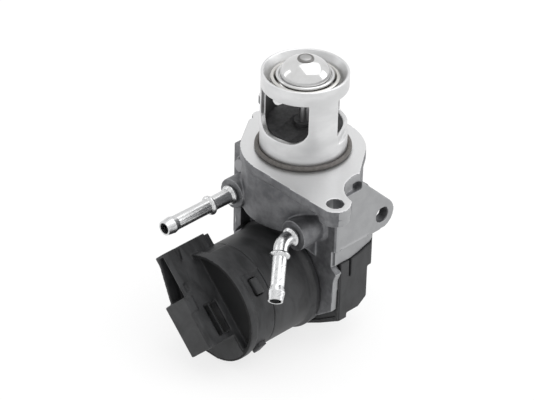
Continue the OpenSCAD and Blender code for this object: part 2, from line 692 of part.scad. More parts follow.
spring_r = 6.2;
spring_wire = 1;
module return_spring() color("DarkSlateGray") {
  turns = 2.6;
  wire([for (i = [0 : 52]) let (a = 205 + 360 * turns * i / 52)
    [output_x + spring_r * cos(a), gear_a_y + 0.3 + (gear_w - 0.4) * i / 52, -output_z + spring_r * sin(a)]], spring_wire / 2);
}

module intermediate_gear() color("Ivory") difference() {
  union() {
    y_plate(gear_a_y, gear_a_y + gear_w - 0.3) translate([inter_x, inter_z])
      rotate(mesh_a + 180 + 180 / large_teeth) gear_outline(large_teeth, large_r);
    y_plate(gear_a_y + gear_w - 0.4, gear_b_y + gear_w + 0.4) translate([inter_x, inter_z])
      rotate(mesh_b + 180 + 180 / small_teeth) gear_outline(small_teeth, small_r);
  }
  y_rod(inter_pin_d / 2 + run_gap, gear_a_y - 1, gear_b_y + gear_w + 2, inter_x, inter_z);
}

module intermediate_pin() color("Silver") y_rod(inter_pin_d / 2, web_y, cover_in_y - fit_gap, inter_x, inter_z);

// Motor rotor

module motor_pinion() color("Goldenrod") difference() {
  y_plate(gear_a_y - 0.4, gear_a_y + gear_w + 0.2) translate([0, -motor_z]) rotate(mesh_a) gear_outline(pinion_teeth, pinion_r);
  y_rod(motor_shaft_r + fit_gap, gear_a_y - 2, gear_a_y + gear_w + 2, 0, -motor_z);
}

brush_y = can_back_y + 1;
module motor_shaft() color("Silver") y_rod(motor_shaft_r, cap_in_y + 0.5, gear_a_y + gear_w + 0.3, 0, -motor_z);

core_y0 = can_back_y + 11;
core_y1 = can_front_y - 6.5;
slot_count = 8;
module armature_core() color("SlateGray") y_plate(core_y0, core_y1) translate([0, -motor_z]) difference() {
  circle(r = armature_r);
  circle(r = motor_shaft_r + fit_gap);
  for (a = [0 : 360 / slot_count : 359]) rotate(a) {
    block_2d([armature_r - 2, -1], [armature_r + 2, 1]);
    translate([armature_r - 5, 0]) circle(r = 3.4);
  }
}

module armature_windings() color("Peru") {
  for (a = [0 : 360 / slot_count : 359])
    y_rod(3.3, core_y0 - 2, core_y1 + 2, (armature_r - 5) * cos(a), -motor_z + (armature_r - 5) * sin(a));
  for (e = [[core_y0 - 3.6, core_y0 - fit_gap], [core_y1 + fit_gap, core_y1 + 3.6]])
    y_tube(armature_r - 1.8, 7.4, e[0], e[1], 0, -motor_z);
}

module commutator() color("DarkGoldenrod") difference() {
  y_rod(6.5, brush_y + 0.6, core_y0 - 4, 0, -motor_z);
  y_rod(motor_shaft_r + fit_gap, can_back_y - 5, core_y0, 0, -motor_z);
  for (a = [0 : 360 / slot_count : 359]) translate([0, 0, -motor_z]) rotate([0, a, 0])
    block([5.6, can_back_y - 5, -0.2], [7, core_y0 - 4.8, 0.2]);
}

// Motor stator

module motor_can() color("Gray") difference() {
  union() {
    y_rod(can_r, can_back_y, can_front_y, 0, -motor_z);
    y_rod(nose_r, can_front_y - 1, -front_y + plate_t - 0.2, 0, -motor_z);
  }
  y_rod(can_bore_r, can_back_y - 1, can_front_y - 2, 0, -motor_z);
  y_rod(6 + fit_gap, can_front_y - 3, -front_y + plate_t - 1.4, 0, -motor_z);
  y_rod(motor_shaft_r + 0.6, can_front_y - 3, 0, 0, -motor_z);
}

module motor_magnets() color("DimGray") y_plate(core_y0 - 2, core_y1 + 2) translate([0, -motor_z]) difference() {
  circle(r = can_bore_r - fit_gap);
  circle(r = magnet_in_r);
  for (s = [0, 180]) rotate(s + 90) polygon([[0, 0], [60, -34], [60, 34]]);
}

module motor_bearing_front() color("LightSteelBlue")
  bearing(motor_shaft_r + run_gap, 6, can_front_y - 1.8, -front_y + plate_t - 1.5, 0, -motor_z);

module motor_bearing_rear() color("LightSteelBlue")
  bearing(motor_shaft_r + run_gap, 6, cap_in_y + part_gap, can_back_y - 0.5, 0, -motor_z);

module brush_card() color("DarkOliveGreen") {
  difference() {
    y_tube(can_r, 8.2, can_back_y - 1.9, can_back_y - fit_gap, 0, -motor_z);
    for (s = [-1, 1]) block([s * 13 - 4, can_back_y - 3, -motor_z - 15], [s * 13 + 4, can_back_y, -motor_z - 12]);
  }
  // brush boxes
  for (s = [-1, 1]) difference() {
    block([s * 14 - 6, can_back_y - 1, -motor_z - 4], [s * 14 + 6, can_back_y + 6.4, -motor_z + 4]);
    block([s * 14 - 7, can_back_y + 0.4, -motor_z - 2.6], [s * 14 + 7, can_back_y + 5.6, -motor_z + 2.6]);
  }
}

module brushes() color("DarkSlateGray") for (s = [-1, 1])
  block([s * 10.8 - 4.22, can_back_y + 0.48, -motor_z - 2.52], [s * 10.8 + 4.22, can_back_y + 5.52, -motor_z + 2.52]);

module brush_springs() color("Silver") for (s = [-1, 1])
  wire([for (i = [0 : 40]) [s * (15.6 + 4 * i / 40), can_back_y + 3 + 1.5 * cos(36 * i), -motor_z + 1.5 * sin(36 * i)]], 0.3, 6);

// Motor housing and end cap

motor_screw_r = 1.5;
motor_screw_places = [for (a = [30, 150, 190, 350]) (motor_flange_r - 3.3) * [cos(a), sin(a)] - [0, motor_z]];
motor_screw_l = plate_t + part_gap + 2.8;
latch_places = [43.5, -35, 150, 235];

module motor_housing() color("#2f3033") difference() {
  union() {
    y_rod(motor_flange_r, motor_front_y - 3.4, motor_front_y, 0, -motor_z);
    translate([0, motor_front_y - 3.4, -motor_z]) rotate([90, 0, 0])
      cylinder(r1 = motor_flange_r - 0.4, r2 = motor_r, h = 2);
    y_rod(motor_r, -seam_y, motor_front_y - 1, 0, -motor_z);
    // spigot inside the end cap
    y_rod(cap_bore_r - part_gap / 2, spigot_y, -seam_y + 1, 0, -motor_z);
    // latch lugs that stand in the cap's windows
    for (a = latch_places) translate([0, 0, -motor_z]) rotate([0, -a, 0])
      block([housing_bore_r + 0.4, -seam_y - 9.4, -4.5], [motor_r + 1.9, -seam_y - 4.6, 4.5]);
  }
  y_rod(housing_bore_r, spigot_y - 1, motor_front_y - 3, 0, -motor_z);
  y_rod(nose_r + part_gap, -seam_y, 0, 0, -motor_z);
  for (p = motor_screw_places) y_rod(motor_screw_r + fit_gap, motor_front_y - 2.9, 0, p[0], p[1]);
  y_tube(nose_r + 6.4, nose_r + 3.6, motor_front_y - 1.6, motor_front_y + 1, 0, -motor_z);
}

module motor_seal() color("DimGray") y_tube(nose_r + 6.3, nose_r + 3.7, motor_front_y - 1.5, -front_y - fit_gap, 0, -motor_z);

module motor_screws() color("Silver") for (p = motor_screw_places)
  translate([p[0], -front_y + plate_t + fit_gap, p[1]]) rotate([0, 0, 180]) screw(motor_screw_r, motor_screw_l);

// Windows in the cap's skirt over the latch lugs
module latch_cuts() for (a = latch_places) translate([0, 0, -motor_z]) rotate([0, -a, 0])
  block([cap_bore_r - 2, -seam_y - 9.8, -4.9], [motor_r + 6, -seam_y - 4.3, 4.9]);

// Everything on the cap's front, in its turned frame
module connector_frame() translate([0, 0, -motor_z]) rotate([0, -connector_angle, 0]) children();

module connector_solid() {
  // hood
  block([hood_x0, hood_y0, hood_z0], [hood_x1, hood_y0 + hood_t, hood_z1]);
  // bar behind the hood, tapering to its upper end
  translate([0, hood_y0 + 1.5, 0]) rotate([90, 0, 0]) mirror([0, 0, 1]) linear_extrude(-cap_y - hood_y0 + 0.5 - 1.5)
    polygon([[hood_x1, bar_z1], [0.5, bar_z1], [-9.7, hood_z1], [-11, 3.5], [hood_x1, 3.5]]);
  // upper block that laps over the cap's edge
  block([-2, hood_y0 + 1.6, 29.5], [hood_x1, -cap_y + 14, bar_z1]);
  // foot of the slot beside the hood
  block([hood_x0 + 5, hood_y0 + hood_t - 0.5, hood_z0 + 0.6], [hood_x1, -cap_y + 0.5, hood_z0 + 3.3]);
  // tab that reaches back over the skirt, and a small box on the hood's side
  block([0.5, -53, 28.5], [5.5, -seam_y - 0.6, 36.5]);
  block([hood_x1 - 1, hood_y0 + 0.4, 3], [hood_x1 + 0.8, hood_y0 + 4.6, hood_z1 - 1]);
  // rib inside the slot
  block([hood_x0 + 5, -cap_y - 5, hood_z0 + 2], [hood_x1 - 0.8, -cap_y - 4, 4]);
}

module connector_hollow() {
  // plug opening
  block([hood_x0 + hood_wall, hood_y0 + hood_wall - 0.3, hood_z0 - 1], [hood_x1 - hood_wall, hood_y0 + hood_t - hood_wall + 0.3, hood_z0 + 22]);
  // rebate along the hood's side, pocket and wedge in the bar's side
  block([hood_x1 - 1, hood_y0 - 1, hood_z0 + 1.2], [hood_x1 + 2, hood_y0 + 1.6, 2.6]);
  block([hood_x1 - 1.2, -79.3, 13.8], [hood_x1 + 1, -76.7, 18.6]);
  translate([hood_x1 - 2, 0, 0]) rotate([90, 0, 90]) linear_extrude(4) polygon([[-72.6, bar_z1 + 1], [-69.6, bar_z1 + 1], [-73, 25]]);
  // open recess on the bar's front
  translate([0, hood_y0 + 9, 0]) rotate([90, 0, 0]) linear_extrude(10)
    polygon([[hood_x1 - 1.5, bar_z1 - 1.6], [1.6, bar_z1 - 1.6], [-8, hood_z1 + fit_gap], [hood_x1 - 1.5, hood_z1 + fit_gap]]);
}

module end_cap() color("#2b2c2f") difference() {
  union() {
    y_rod(motor_r, -cap_y + 4, -seam_y - 0.2, 0, -motor_z);
    y_rod(motor_r + 1.2, -cap_y, -cap_y + 5, 0, -motor_z);
    // raised strap beside the upper latch
    y_plate(-cap_y + 4.5, -seam_y - 0.2) translate([0, -motor_z]) intersection() {
      difference() {
        circle(r = motor_r + 1.1);
        circle(r = motor_r - 1);
      }
      polygon([[0, 0], for (a = [59 : 15 : 104]) 60 * [cos(a), sin(a)]]);
    }
    connector_frame() connector_solid();
  }
  // inside of the cap, with the bearing's seat left standing
  difference() {
    y_rod(cap_bore_r, cap_in_y, -seam_y + 1, 0, -motor_z);
    y_rod(7.6, cap_in_y - 1, can_back_y - 0.4, 0, -motor_z);
  }
  y_rod(6 + fit_gap, cap_in_y, 0, 0, -motor_z);
  // hollow crescent of the front face
  difference() {
    y_rod(motor_r - 0.8, -cap_y - 1, -cap_y + cap_hollow, 0, -motor_z);
    connector_frame() block([-60, -cap_y - 2, -60], [hood_x1, 0, 60]);
  }
  connector_frame() {
    connector_hollow();
    pin_blocks(fit_gap);
  }
  latch_cuts();
}

module cap_seal() color("DimGray")
  y_tube(cap_bore_r - fit_gap, cap_bore_r - 1.2, cap_in_y + fit_gap, spigot_y - fit_gap, 0, -motor_z);

// Connector pins, grown by a gap when they are cut from the cap
module pin_blocks(gap) for (i = [0 : pin_count - 1])
  translate([(hood_x0 + hood_x1) / 2 + (i - (pin_count - 1) / 2) * pin_pitch, hood_y0 + hood_t / 2, 0])
    block([-0.4 - gap, -0.4 - gap, hood_z0 + 8], [0.4 + gap, 0.4 + gap, hood_z0 + 27 + gap]);

module connector_pins() color("Gold") connector_frame() pin_blocks(0);

// Gear cover

cover_screw_r = 1.6;
cover_post_r = 3;
cover_screw_places = [[-20, -79.4], [28, -47.5]];
cover_head_y = 18.5;
cover_floor_z = 85.8;
cover_step_z = 61.8;
lip_back_y = -4.5;

// Plan of the cover, in X and Y, set in by a wall; the rear corners are slanted, more so below
module cover_plan(in, y1, x1) polygon([
  [-left_x + in, -20], [side_x - in, -20], [side_x - in, y1 - in * 0.41], [x1 - in * 0.41, cover_y - in],
  [-x1 + 3 + in * 0.41, cover_y - in], [-left_x + in, y1 - in * 0.41]]);

// Body of the cover set in by a wall: upper part, and lower part with its slanted foot
module cover_solid(in) intersection() {
  union() {
    translate([0, 0, -cover_step_z + in]) linear_extrude(cover_step_z - cover_top_z + 2 * in) cover_plan(in, 13.3, 30);
    difference() {
      translate([0, 0, -cover_floor_z + in]) linear_extrude(cover_floor_z - cover_step_z) cover_plan(in, 10.4, 26);
      rotate([0, 0, 46]) rotate([90, 0, 0]) linear_extrude(140, center = true)
        polygon([[27.4 - in * 1.41, -90], [57.4 - in * 1.41, -60], [90, -60], [90, -90]]);
    }
  }
  block([-60, cover_front_y - (in > 0 ? 1 : 0), -120], [60, 60, 0]);
}

// Outline of the cover's front lip in X and Z, set in by a margin
module lip_outline(in) polygon([[-left_x + in, -cover_top_z], [side_x - in, -cover_top_z], [side_x - in, -cover_corner_z + in],
  [28 - in * 0.4, -96.5 + in], [15, -cover_low_z + in], [-15, -cover_low_z + in], [-24 + in * 0.4, -96.5 + in],
  [-left_x + in, -cover_corner_z + in]]);

// Raised rear part of the cover, under the round body of the casting
module cover_crown(in, y0) intersection() {
  translate([0, 0, -cover_top_z - 1]) linear_extrude(cover_top_z + 1 - casting_z - part_gap - in) cover_plan(in, 13.3, 30);
  block([-60, y0, -80], [60, cover_y - in, 0]);
}

module gear_cover() color("#333437") difference() {
  union() {
    difference() {
      union() {
        cover_solid(0);
        cover_crown(0, skirt_end_y);
        y_plate(cover_front_y, lip_back_y) lip_outline(0);
      }
      cover_solid(cover_wall);
      cover_crown(cover_wall, 8);
    }
    // rear bearing seat, pin seat and screw posts
    y_rod(output_d / 2 + 5.2, rear_bearing_y + 0.2, cover_in_y + 1, output_x, -output_z);
    y_rod(4.4, gear_b_y + gear_w + 1, cover_in_y + 1, inter_x, inter_z);
    for (p = cover_screw_places) {
      y_rod(cover_post_r, web_y + web_t + part_gap, cover_head_y, p[0], p[1]);
      y_rod(4.9, 14.6, p[0] > 0 ? 20 : 23, p[0], p[1]);
    }
  }
  y_rod(output_d / 2 + 2.9 + fit_gap, rear_bearing_y - 1, cover_in_y, output_x, -output_z);
  y_rod(inter_pin_d / 2 + fit_gap, 0, cover_in_y, inter_x, inter_z);
  for (p = cover_screw_places) {
    y_rod(cover_screw_r + fit_gap, 0, 60, p[0], p[1]);
    y_rod(3.8, cover_head_y, 60, p[0], p[1]);
  }
  // wavy upper edge under the casting's skirts, and the snap slot
  translate([-60, 0, 0]) rotate([90, 0, 90]) linear_extrude(120) skirt_outline(0);
  block([side_x - 5, -3.6, -62.5], [side_x + 1, -2.2, -skirt_z + 1.2]);
}

module cover_seal() color("DimGray") difference() {
  y_plate(-front_y + plate_t + fit_gap, cover_front_y - fit_gap) lip_outline(0.4);
  y_plate(-front_y, 0) lip_outline(cover_wall - 0.4);
  block([-60, -front_y, -skirt_z - 3], [60, 0, 0]);
}

module cover_screws() color("Silver") for (p = cover_screw_places)
  translate([p[0], cover_head_y + fit_gap, p[1]]) rotate([0, 0, 180]) screw(cover_screw_r, cover_head_y - web_y + 4);

module sensor_board() color("ForestGreen") difference() {
  block([output_x - 14.7, cover_in_y - 1.6, -output_z - 14], [output_x + 12.7, cover_in_y - fit_gap, -output_z + 12]);
  y_rod(output_d / 2 + 5.6, 0, 60, output_x, -output_z);
}

valve_housing();
valve_cage();
cage_ring();
seat_ring();
gas_guide();
guide_bush();
stem_seal();
poppet_head();
valve_stem();
crosshead();
core_plug();
coolant_pipe_straight();
coolant_pipe_bent();
crank_shaft();
crank_roller();
sector_gear();
sensor_magnet();
output_bearing_front();
output_bearing_rear();
return_spring();
intermediate_gear();
intermediate_pin();
motor_pinion();
motor_shaft();
armature_core();
armature_windings();
commutator();
motor_housing();
motor_can();
motor_magnets();
motor_bearing_front();
motor_bearing_rear();
brush_card();
brushes();
brush_springs();
motor_seal();
motor_screws();
end_cap();
cap_seal();
connector_pins();
gear_cover();
cover_seal();
cover_screws();
sensor_board();
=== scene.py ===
"""Looks of an EGR valve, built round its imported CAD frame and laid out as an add-on."""
import json
import math

import bmesh
import bpy
from mathutils import Matrix, Vector

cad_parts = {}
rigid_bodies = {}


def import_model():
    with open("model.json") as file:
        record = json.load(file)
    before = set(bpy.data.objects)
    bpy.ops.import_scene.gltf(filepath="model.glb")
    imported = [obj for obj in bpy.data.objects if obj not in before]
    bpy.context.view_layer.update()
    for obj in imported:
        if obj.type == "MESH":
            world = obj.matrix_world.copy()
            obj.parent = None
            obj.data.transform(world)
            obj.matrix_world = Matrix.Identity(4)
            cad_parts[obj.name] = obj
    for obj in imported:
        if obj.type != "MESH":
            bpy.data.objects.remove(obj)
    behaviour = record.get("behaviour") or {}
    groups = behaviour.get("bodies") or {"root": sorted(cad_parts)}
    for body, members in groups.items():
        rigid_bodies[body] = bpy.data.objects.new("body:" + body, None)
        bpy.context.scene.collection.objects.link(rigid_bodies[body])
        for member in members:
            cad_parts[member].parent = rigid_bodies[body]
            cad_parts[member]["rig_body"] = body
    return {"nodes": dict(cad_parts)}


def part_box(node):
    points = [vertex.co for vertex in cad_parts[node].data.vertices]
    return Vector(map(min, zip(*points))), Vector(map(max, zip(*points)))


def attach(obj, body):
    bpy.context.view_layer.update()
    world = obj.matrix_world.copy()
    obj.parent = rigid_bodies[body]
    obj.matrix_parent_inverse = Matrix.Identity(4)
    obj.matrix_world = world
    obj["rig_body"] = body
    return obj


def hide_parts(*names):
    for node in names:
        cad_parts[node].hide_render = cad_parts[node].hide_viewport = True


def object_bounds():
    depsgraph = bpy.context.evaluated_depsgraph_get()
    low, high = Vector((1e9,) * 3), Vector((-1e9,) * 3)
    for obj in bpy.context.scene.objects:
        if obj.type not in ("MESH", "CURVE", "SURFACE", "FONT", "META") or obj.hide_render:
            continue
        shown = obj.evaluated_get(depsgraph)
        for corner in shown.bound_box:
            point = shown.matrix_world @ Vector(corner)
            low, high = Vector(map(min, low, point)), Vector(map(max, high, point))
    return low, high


bl_info = {
    "name": "EGR valve looks",
    "version": (1, 0, 0),
    "blender": (4, 5, 0),
    "location": "View3D > Sidebar > EGR Valve",
    "description": "Castings, machined parts, mouldings and their finishes for an EGR valve",
    "category": "Object",
}

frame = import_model()
CAD_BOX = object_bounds()
MM = 0.001
NODES = frame["nodes"]


def mm(*values):
    """A point given in millimetres, in metres."""
    return Vector(values) * MM


# Shader maths


class Value:
    """A number in a material: arithmetic on it adds Math nodes."""

    def __init__(self, maker, socket):
        self.maker = maker
        self.socket = socket

    def math(self, operation, *others):
        node = self.maker.add("ShaderNodeMath", {"operation": operation}, dict(enumerate((self, *others))))
        return Value(self.maker, node.outputs[0])

    def __add__(self, other):
        return self.math("ADD", other)

    __radd__ = __add__

    def __mul__(self, other):
        return self.math("MULTIPLY", other)

    __rmul__ = __mul__

    def __sub__(self, other):
        return self.math("SUBTRACT", other)

    def __rsub__(self, other):
        node = self.maker.add("ShaderNodeMath", {"operation": "SUBTRACT"}, {0: other, 1: self})
        return Value(self.maker, node.outputs[0])

    def __truediv__(self, other):
        return self.math("DIVIDE", other)

    def over(self, edge):
        return self.math("GREATER_THAN", edge)

    def under(self, edge):
        return self.math("LESS_THAN", edge)

    def band(self, low, high):
        """1 between two values, 0 outside them."""
        return self.over(low) * self.under(high)

    def ramp(self, low, high):
        """0 at low, 1 at high, smooth between them."""
        node = self.maker.add("ShaderNodeMapRange", {"interpolation_type": "SMOOTHSTEP"},
                              {"Value": self, "From Min": low, "From Max": high})
        return Value(self.maker, node.outputs[0])

    def most(self, other):
        return self.math("MAXIMUM", other)


class Nodes:
    """A node tree being built."""

    def __init__(self, tree):
        self.tree = tree
        tree.nodes.clear()

    def add(self, kind, settings=None, sockets=None):
        """Adds a node, sets it up, then gives its sockets values or links."""
        node = self.tree.nodes.new(kind)
        for key, value in (settings or {}).items():
            setattr(node, key, value)
        for key, value in (sockets or {}).items():
            if isinstance(value, Value):
                value = value.socket
            if isinstance(value, bpy.types.NodeSocket):
                self.tree.links.new(value, node.inputs[key])
            else:
                node.inputs[key].default_value = value
        return node


def sees_background(maker):
    """1 for the rays that are shown the white background: the camera's, mirrored and passed ones."""
    path = maker.add("ShaderNodeLightPath")
    seen = Value(maker, path.outputs["Is Camera Ray"])
    for ray in ("Is Glossy Ray", "Is Transmission Ray"):
        seen = seen.most(Value(maker, path.outputs[ray]))
    return seen


class Finish(Nodes):
    """One procedural material. Its coordinates are millimetres of the object's own frame."""

    def __init__(self, name):
        self.material = bpy.data.materials.new(name)
        self.material.use_nodes = True
        super().__init__(self.material.node_tree)
        coords = self.add("ShaderNodeTexCoord")
        scaled = self.add("ShaderNodeVectorMath", {"operation": "SCALE"},
                          {0: coords.outputs["Object"], "Scale": 1 / MM})
        self.place = scaled.outputs[0]
        split = self.add("ShaderNodeSeparateXYZ", {}, {0: self.place})
        self.x, self.y, self.z = (Value(self, o) for o in split.outputs)
        geometry = self.add("ShaderNodeNewGeometry")
        facing = self.add("ShaderNodeSeparateXYZ", {}, {0: geometry.outputs["True Normal"]})
        self.nx, self.ny, self.nz = (Value(self, o) for o in facing.outputs)
        self.point = Value(self, geometry.outputs["Pointiness"])

    def noise(self, size, detail=3, rough=0.5, stretch=None, distortion=0.0):
        """Noise whose features are about this many millimetres across."""
        place = self.place
        if stretch:
            place = self.add("ShaderNodeMapping", {}, {"Vector": place, "Scale": stretch}).outputs[0]
        node = self.add("ShaderNodeTexNoise", {}, {
            "Vector": place, "Scale": 1 / size, "Detail": detail, "Roughness": rough,
            "Distortion": distortion})
        return Value(self, node.outputs[0])

    def cells(self, size):
        """Distance to the nearest of points about this many millimetres apart."""
        node = self.add("ShaderNodeTexVoronoi", {"feature": "F1"}, {"Vector": self.place, "Scale": 1 / size})
        return Value(self, node.outputs["Distance"])

    def radius(self, x=0.0, y=0.0, axis="z"):
        """Distance from an axis."""
        a, b = {"z": (self.x, self.y), "y": (self.x, self.z)}[axis]
        return ((a - x) * (a - x) + (b - y) * (b - y)).math("SQRT")

    def colour(self, factor, first, second):
        """A colour between two, each a grey, a triple or a socket."""
        node = self.add("ShaderNodeMix", {"data_type": "RGBA"}, {
            "Factor": factor, 6: rgba(first), 7: rgba(second)})
        return node.outputs[2]

    def bump(self, height, depth, strength=1.0):
        """A bump of this depth in millimetres."""
        return self.add("ShaderNodeBump", {}, {
            "Height": height, "Distance": depth * MM, "Strength": strength}).outputs[0]

    def finish(self, **values):
        """Ends the material in a Principled BSDF."""
        shader = self.add("ShaderNodeBsdfPrincipled", {}, {
            key.replace("_", " "): value for key, value in values.items()})
        out = self.add("ShaderNodeOutputMaterial", {}, {0: shader.outputs[0]})
        out.is_active_output = True
        return self.material


def rgba(colour):
    if isinstance(colour, (int, float)):
        return (colour, colour, colour, 1)
    return (*colour, 1) if isinstance(colour, tuple) and len(colour) == 3 else colour


# Finishes

CAST_LIGHT = (0.225, 0.227, 0.235)
CAST_DARK = (0.13, 0.132, 0.139)
MACHINED = (0.72, 0.722, 0.725)
ZINC = (0.64, 0.645, 0.65)


def cast_aluminium():
    """Grained die casting, with the faces that were milled left bright and the +X side plate lightened as
    painted light.
    """
    f = Finish("cast aluminium")
    patches = f.noise(7, 4, 0.6)
    grain = f.noise(0.5, 5, 0.65)
    pits = 1 - f.cells(1.3).ramp(0.05, 0.42)
    tone = f.colour(patches.ramp(0.3, 0.7), CAST_DARK, CAST_LIGHT)
    tone = f.colour(pits * 0.35, tone, (0.15, 0.15, 0.158))
    # edges lightened by pointiness: partly worn bright metal, partly a painted highlight along the edges
    edge = f.point.ramp(0.52, 0.6)
    tone = f.colour(edge * 0.6, tone, (0.6, 0.605, 0.61))
    rough = 0.48 + patches * 0.14 - edge * 0.1
    height = grain * 0.55 + patches * 0.25 - pits * 0.3
    cut = f.nz.over(0.9) * f.z.over(-0.25)
    # painted light: the +X side plate is lightened as if lit from the right
    side = f.nx.over(0.85) * f.x.over(36)
    tone = f.colour(side * 0.55, tone, (0.5, 0.505, 0.51))
    lines = f.noise(0.35, 3, 0.5, stretch=(0.12, 1.0, 1.0))
    bright = f.colour(lines, (0.62, 0.622, 0.628), MACHINED)
    tone = f.colour(cut, tone, bright)
    rough = rough * (1 - cut) + cut * (0.3 + lines * 0.12)
    height = height * (1 - cut) + cut * lines * 0.08
    return f.finish(Base_Color=tone, Metallic=0.9, Roughness=rough,
                    Normal=f.bump(height, 0.16, 0.9))


def turned_aluminium():
    """Satin face left by a lathe, with milled windows; the cage's inside is painted near-black as shade."""
    f = Finish("turned aluminium")
    rings = f.noise(0.16, 3, 0.6, stretch=(0.02, 0.02, 1.0))
    wide = f.noise(9, 3, 0.5, stretch=(0.35, 0.35, 1.0))
    stains = f.noise(3.2, 5, 0.62)
    side = f.nz.math("ABSOLUTE").under(0.6)
    tone = f.colour(wide.ramp(0.3, 0.75), (0.60, 0.602, 0.605), (0.73, 0.732, 0.735))
    tone = f.colour(stains.ramp(0.56, 0.74) * 0.18, tone, (0.52, 0.51, 0.5))
    # edges lightened by pointiness: partly worn bright metal, partly a painted highlight
    edge = f.point.ramp(0.53, 0.62)
    tone = f.colour(edge * 0.6, tone, (0.86, 0.86, 0.86))
    rough = 0.33 + rings * 0.1 + stains.ramp(0.5, 0.8) * 0.08
    # painted shade: inside the cage, below the rim, the colour is near-black and less metallic
    inside = (1 - f.radius().ramp(20.4, 20.9)) * f.z.under(38.2)
    tone = f.colour(inside, tone, f.colour(stains, (0.03, 0.03, 0.031), (0.06, 0.06, 0.06)))
    rough = rough + inside * 0.25
    return f.finish(Base_Color=tone, Metallic=0.95 - inside * 0.6, Roughness=rough,
                    Normal=f.bump(rings * side + stains * 0.15, 0.03, 0.7))


def polished_steel(name="polished steel", tone=(0.66, 0.66, 0.66), rough=0.1):
    """Turned and polished steel, with fine circles about the valve's axis."""
    f = Finish(name)
    circles = f.radius() * 3.1
    rings = f.add("ShaderNodeTexNoise", {"noise_dimensions": "1D"}, {"W": circles, "Scale": 1.6, "Detail": 4})
    rings = Value(f, rings.outputs[0])
    haze = f.noise(5, 4, 0.6)
    colour = f.colour(haze.ramp(0.4, 0.75) * 0.5, tone, (0.58, 0.575, 0.57))
    return f.finish(Base_Color=colour, Metallic=1.0,
                    Roughness=rough + rings * 0.07 + haze.ramp(0.45, 0.8) * 0.1,
                    Normal=f.bump(rings, 0.012, 0.5))


def valve_stem_steel():
    """Ground steel, with the riveted end darker and darkest round its edge."""
    f = Finish("stem steel")
    marks = f.noise(0.3, 3, 0.5, stretch=(1.0, 1.0, 0.1))
    stain = f.noise(2.0, 4, 0.6)
    away = f.radius()
    end = f.z.over(53.9)
    # the riveted end is darker, and darker still on the rounded lip round its edge
    rim = end * away.ramp(2.9, 3.3)
    tone = f.colour(stain.ramp(0.45, 0.8) * 0.3, (0.55, 0.55, 0.56), (0.36, 0.36, 0.36))
    tone = f.colour(end * 0.7, tone, (0.34, 0.335, 0.33))
    tone = f.colour(rim * 0.75, tone, (0.12, 0.115, 0.11))
    return f.finish(Base_Color=tone, Metallic=1.0, Roughness=0.26 + marks * 0.14 + end * 0.12,
                    Normal=f.bump(marks + stain * 0.3, 0.02, 0.6))


def zinc_plate():
    """Bright zinc over steel tube, with a faint crystalline mottle, drawn marks in the bump, and dark streaks
    along the tube painted as reflections.
    """
    f = Finish("zinc plate")
    spangle = f.cells(1.7)
    haze = f.noise(4, 4, 0.6)
    fine = f.noise(0.3, 3, 0.5)
    drawn_marks_and_reflection_streaks = f.noise(0.55, 3, 0.55, stretch=(1.0, 0.04, 0.35))
    tone = f.colour(spangle.ramp(0.1, 0.7) * 0.4, ZINC, (0.74, 0.742, 0.745))
    tone = f.colour(haze.ramp(0.5, 0.75) * 0.3, tone, (0.5, 0.505, 0.52))
    # painted reflection: dark streaks along the tube stand for reflected dark lines; the same noise gives
    # drawn marks in the bump
    tone = f.colour(drawn_marks_and_reflection_streaks.ramp(0.48, 0.68) * 0.5, tone, (0.22, 0.222, 0.23))
    # edges lightened by pointiness: partly worn bright metal, partly a painted highlight
    edge = f.point.ramp(0.54, 0.64)
    return f.finish(Base_Color=f.colour(edge * 0.5, tone, (0.84, 0.84, 0.84)), Metallic=1.0,
                    Roughness=0.17 + haze * 0.16,
                    Normal=f.bump(fine * 0.5 + drawn_marks_and_reflection_streaks * 0.6 + spangle * 0.4, 0.03, 0.7))


def steel(name, tone, rough=0.35, worn=0.3):
    """Plain machined steel with faint tool marks and oil stain."""
    f = Finish(name)
    marks = f.noise(0.3, 3, 0.5, stretch=(1.0, 0.1, 1.0))
    stain = f.noise(2.5, 4, 0.6)
    dark = tuple(c * 0.6 for c in tone)
    return f.finish(Base_Color=f.colour(stain.ramp(0.5, 0.8) * worn, tone, dark), Metallic=1.0,
                    Roughness=rough + marks * 0.15, Normal=f.bump(marks, 0.02, 0.6))


def shaded_bore():
    """The gas way's wall, painted near-black as the shade inside the valve, with a mottle."""
    f = Finish("sooted bore")
    shade_mottle = f.noise(3, 5, 0.65)
    grain = f.noise(0.4, 4, 0.6)
    # painted shade: near-black tones stand for the shade inside the cage
    tone = f.colour(shade_mottle.ramp(0.35, 0.7), (0.022, 0.022, 0.023), (0.06, 0.06, 0.062))
    return f.finish(Base_Color=tone, Metallic=0.3, Roughness=0.55 + shade_mottle * 0.2,
                    Normal=f.bump(grain + shade_mottle, 0.1, 0.7))


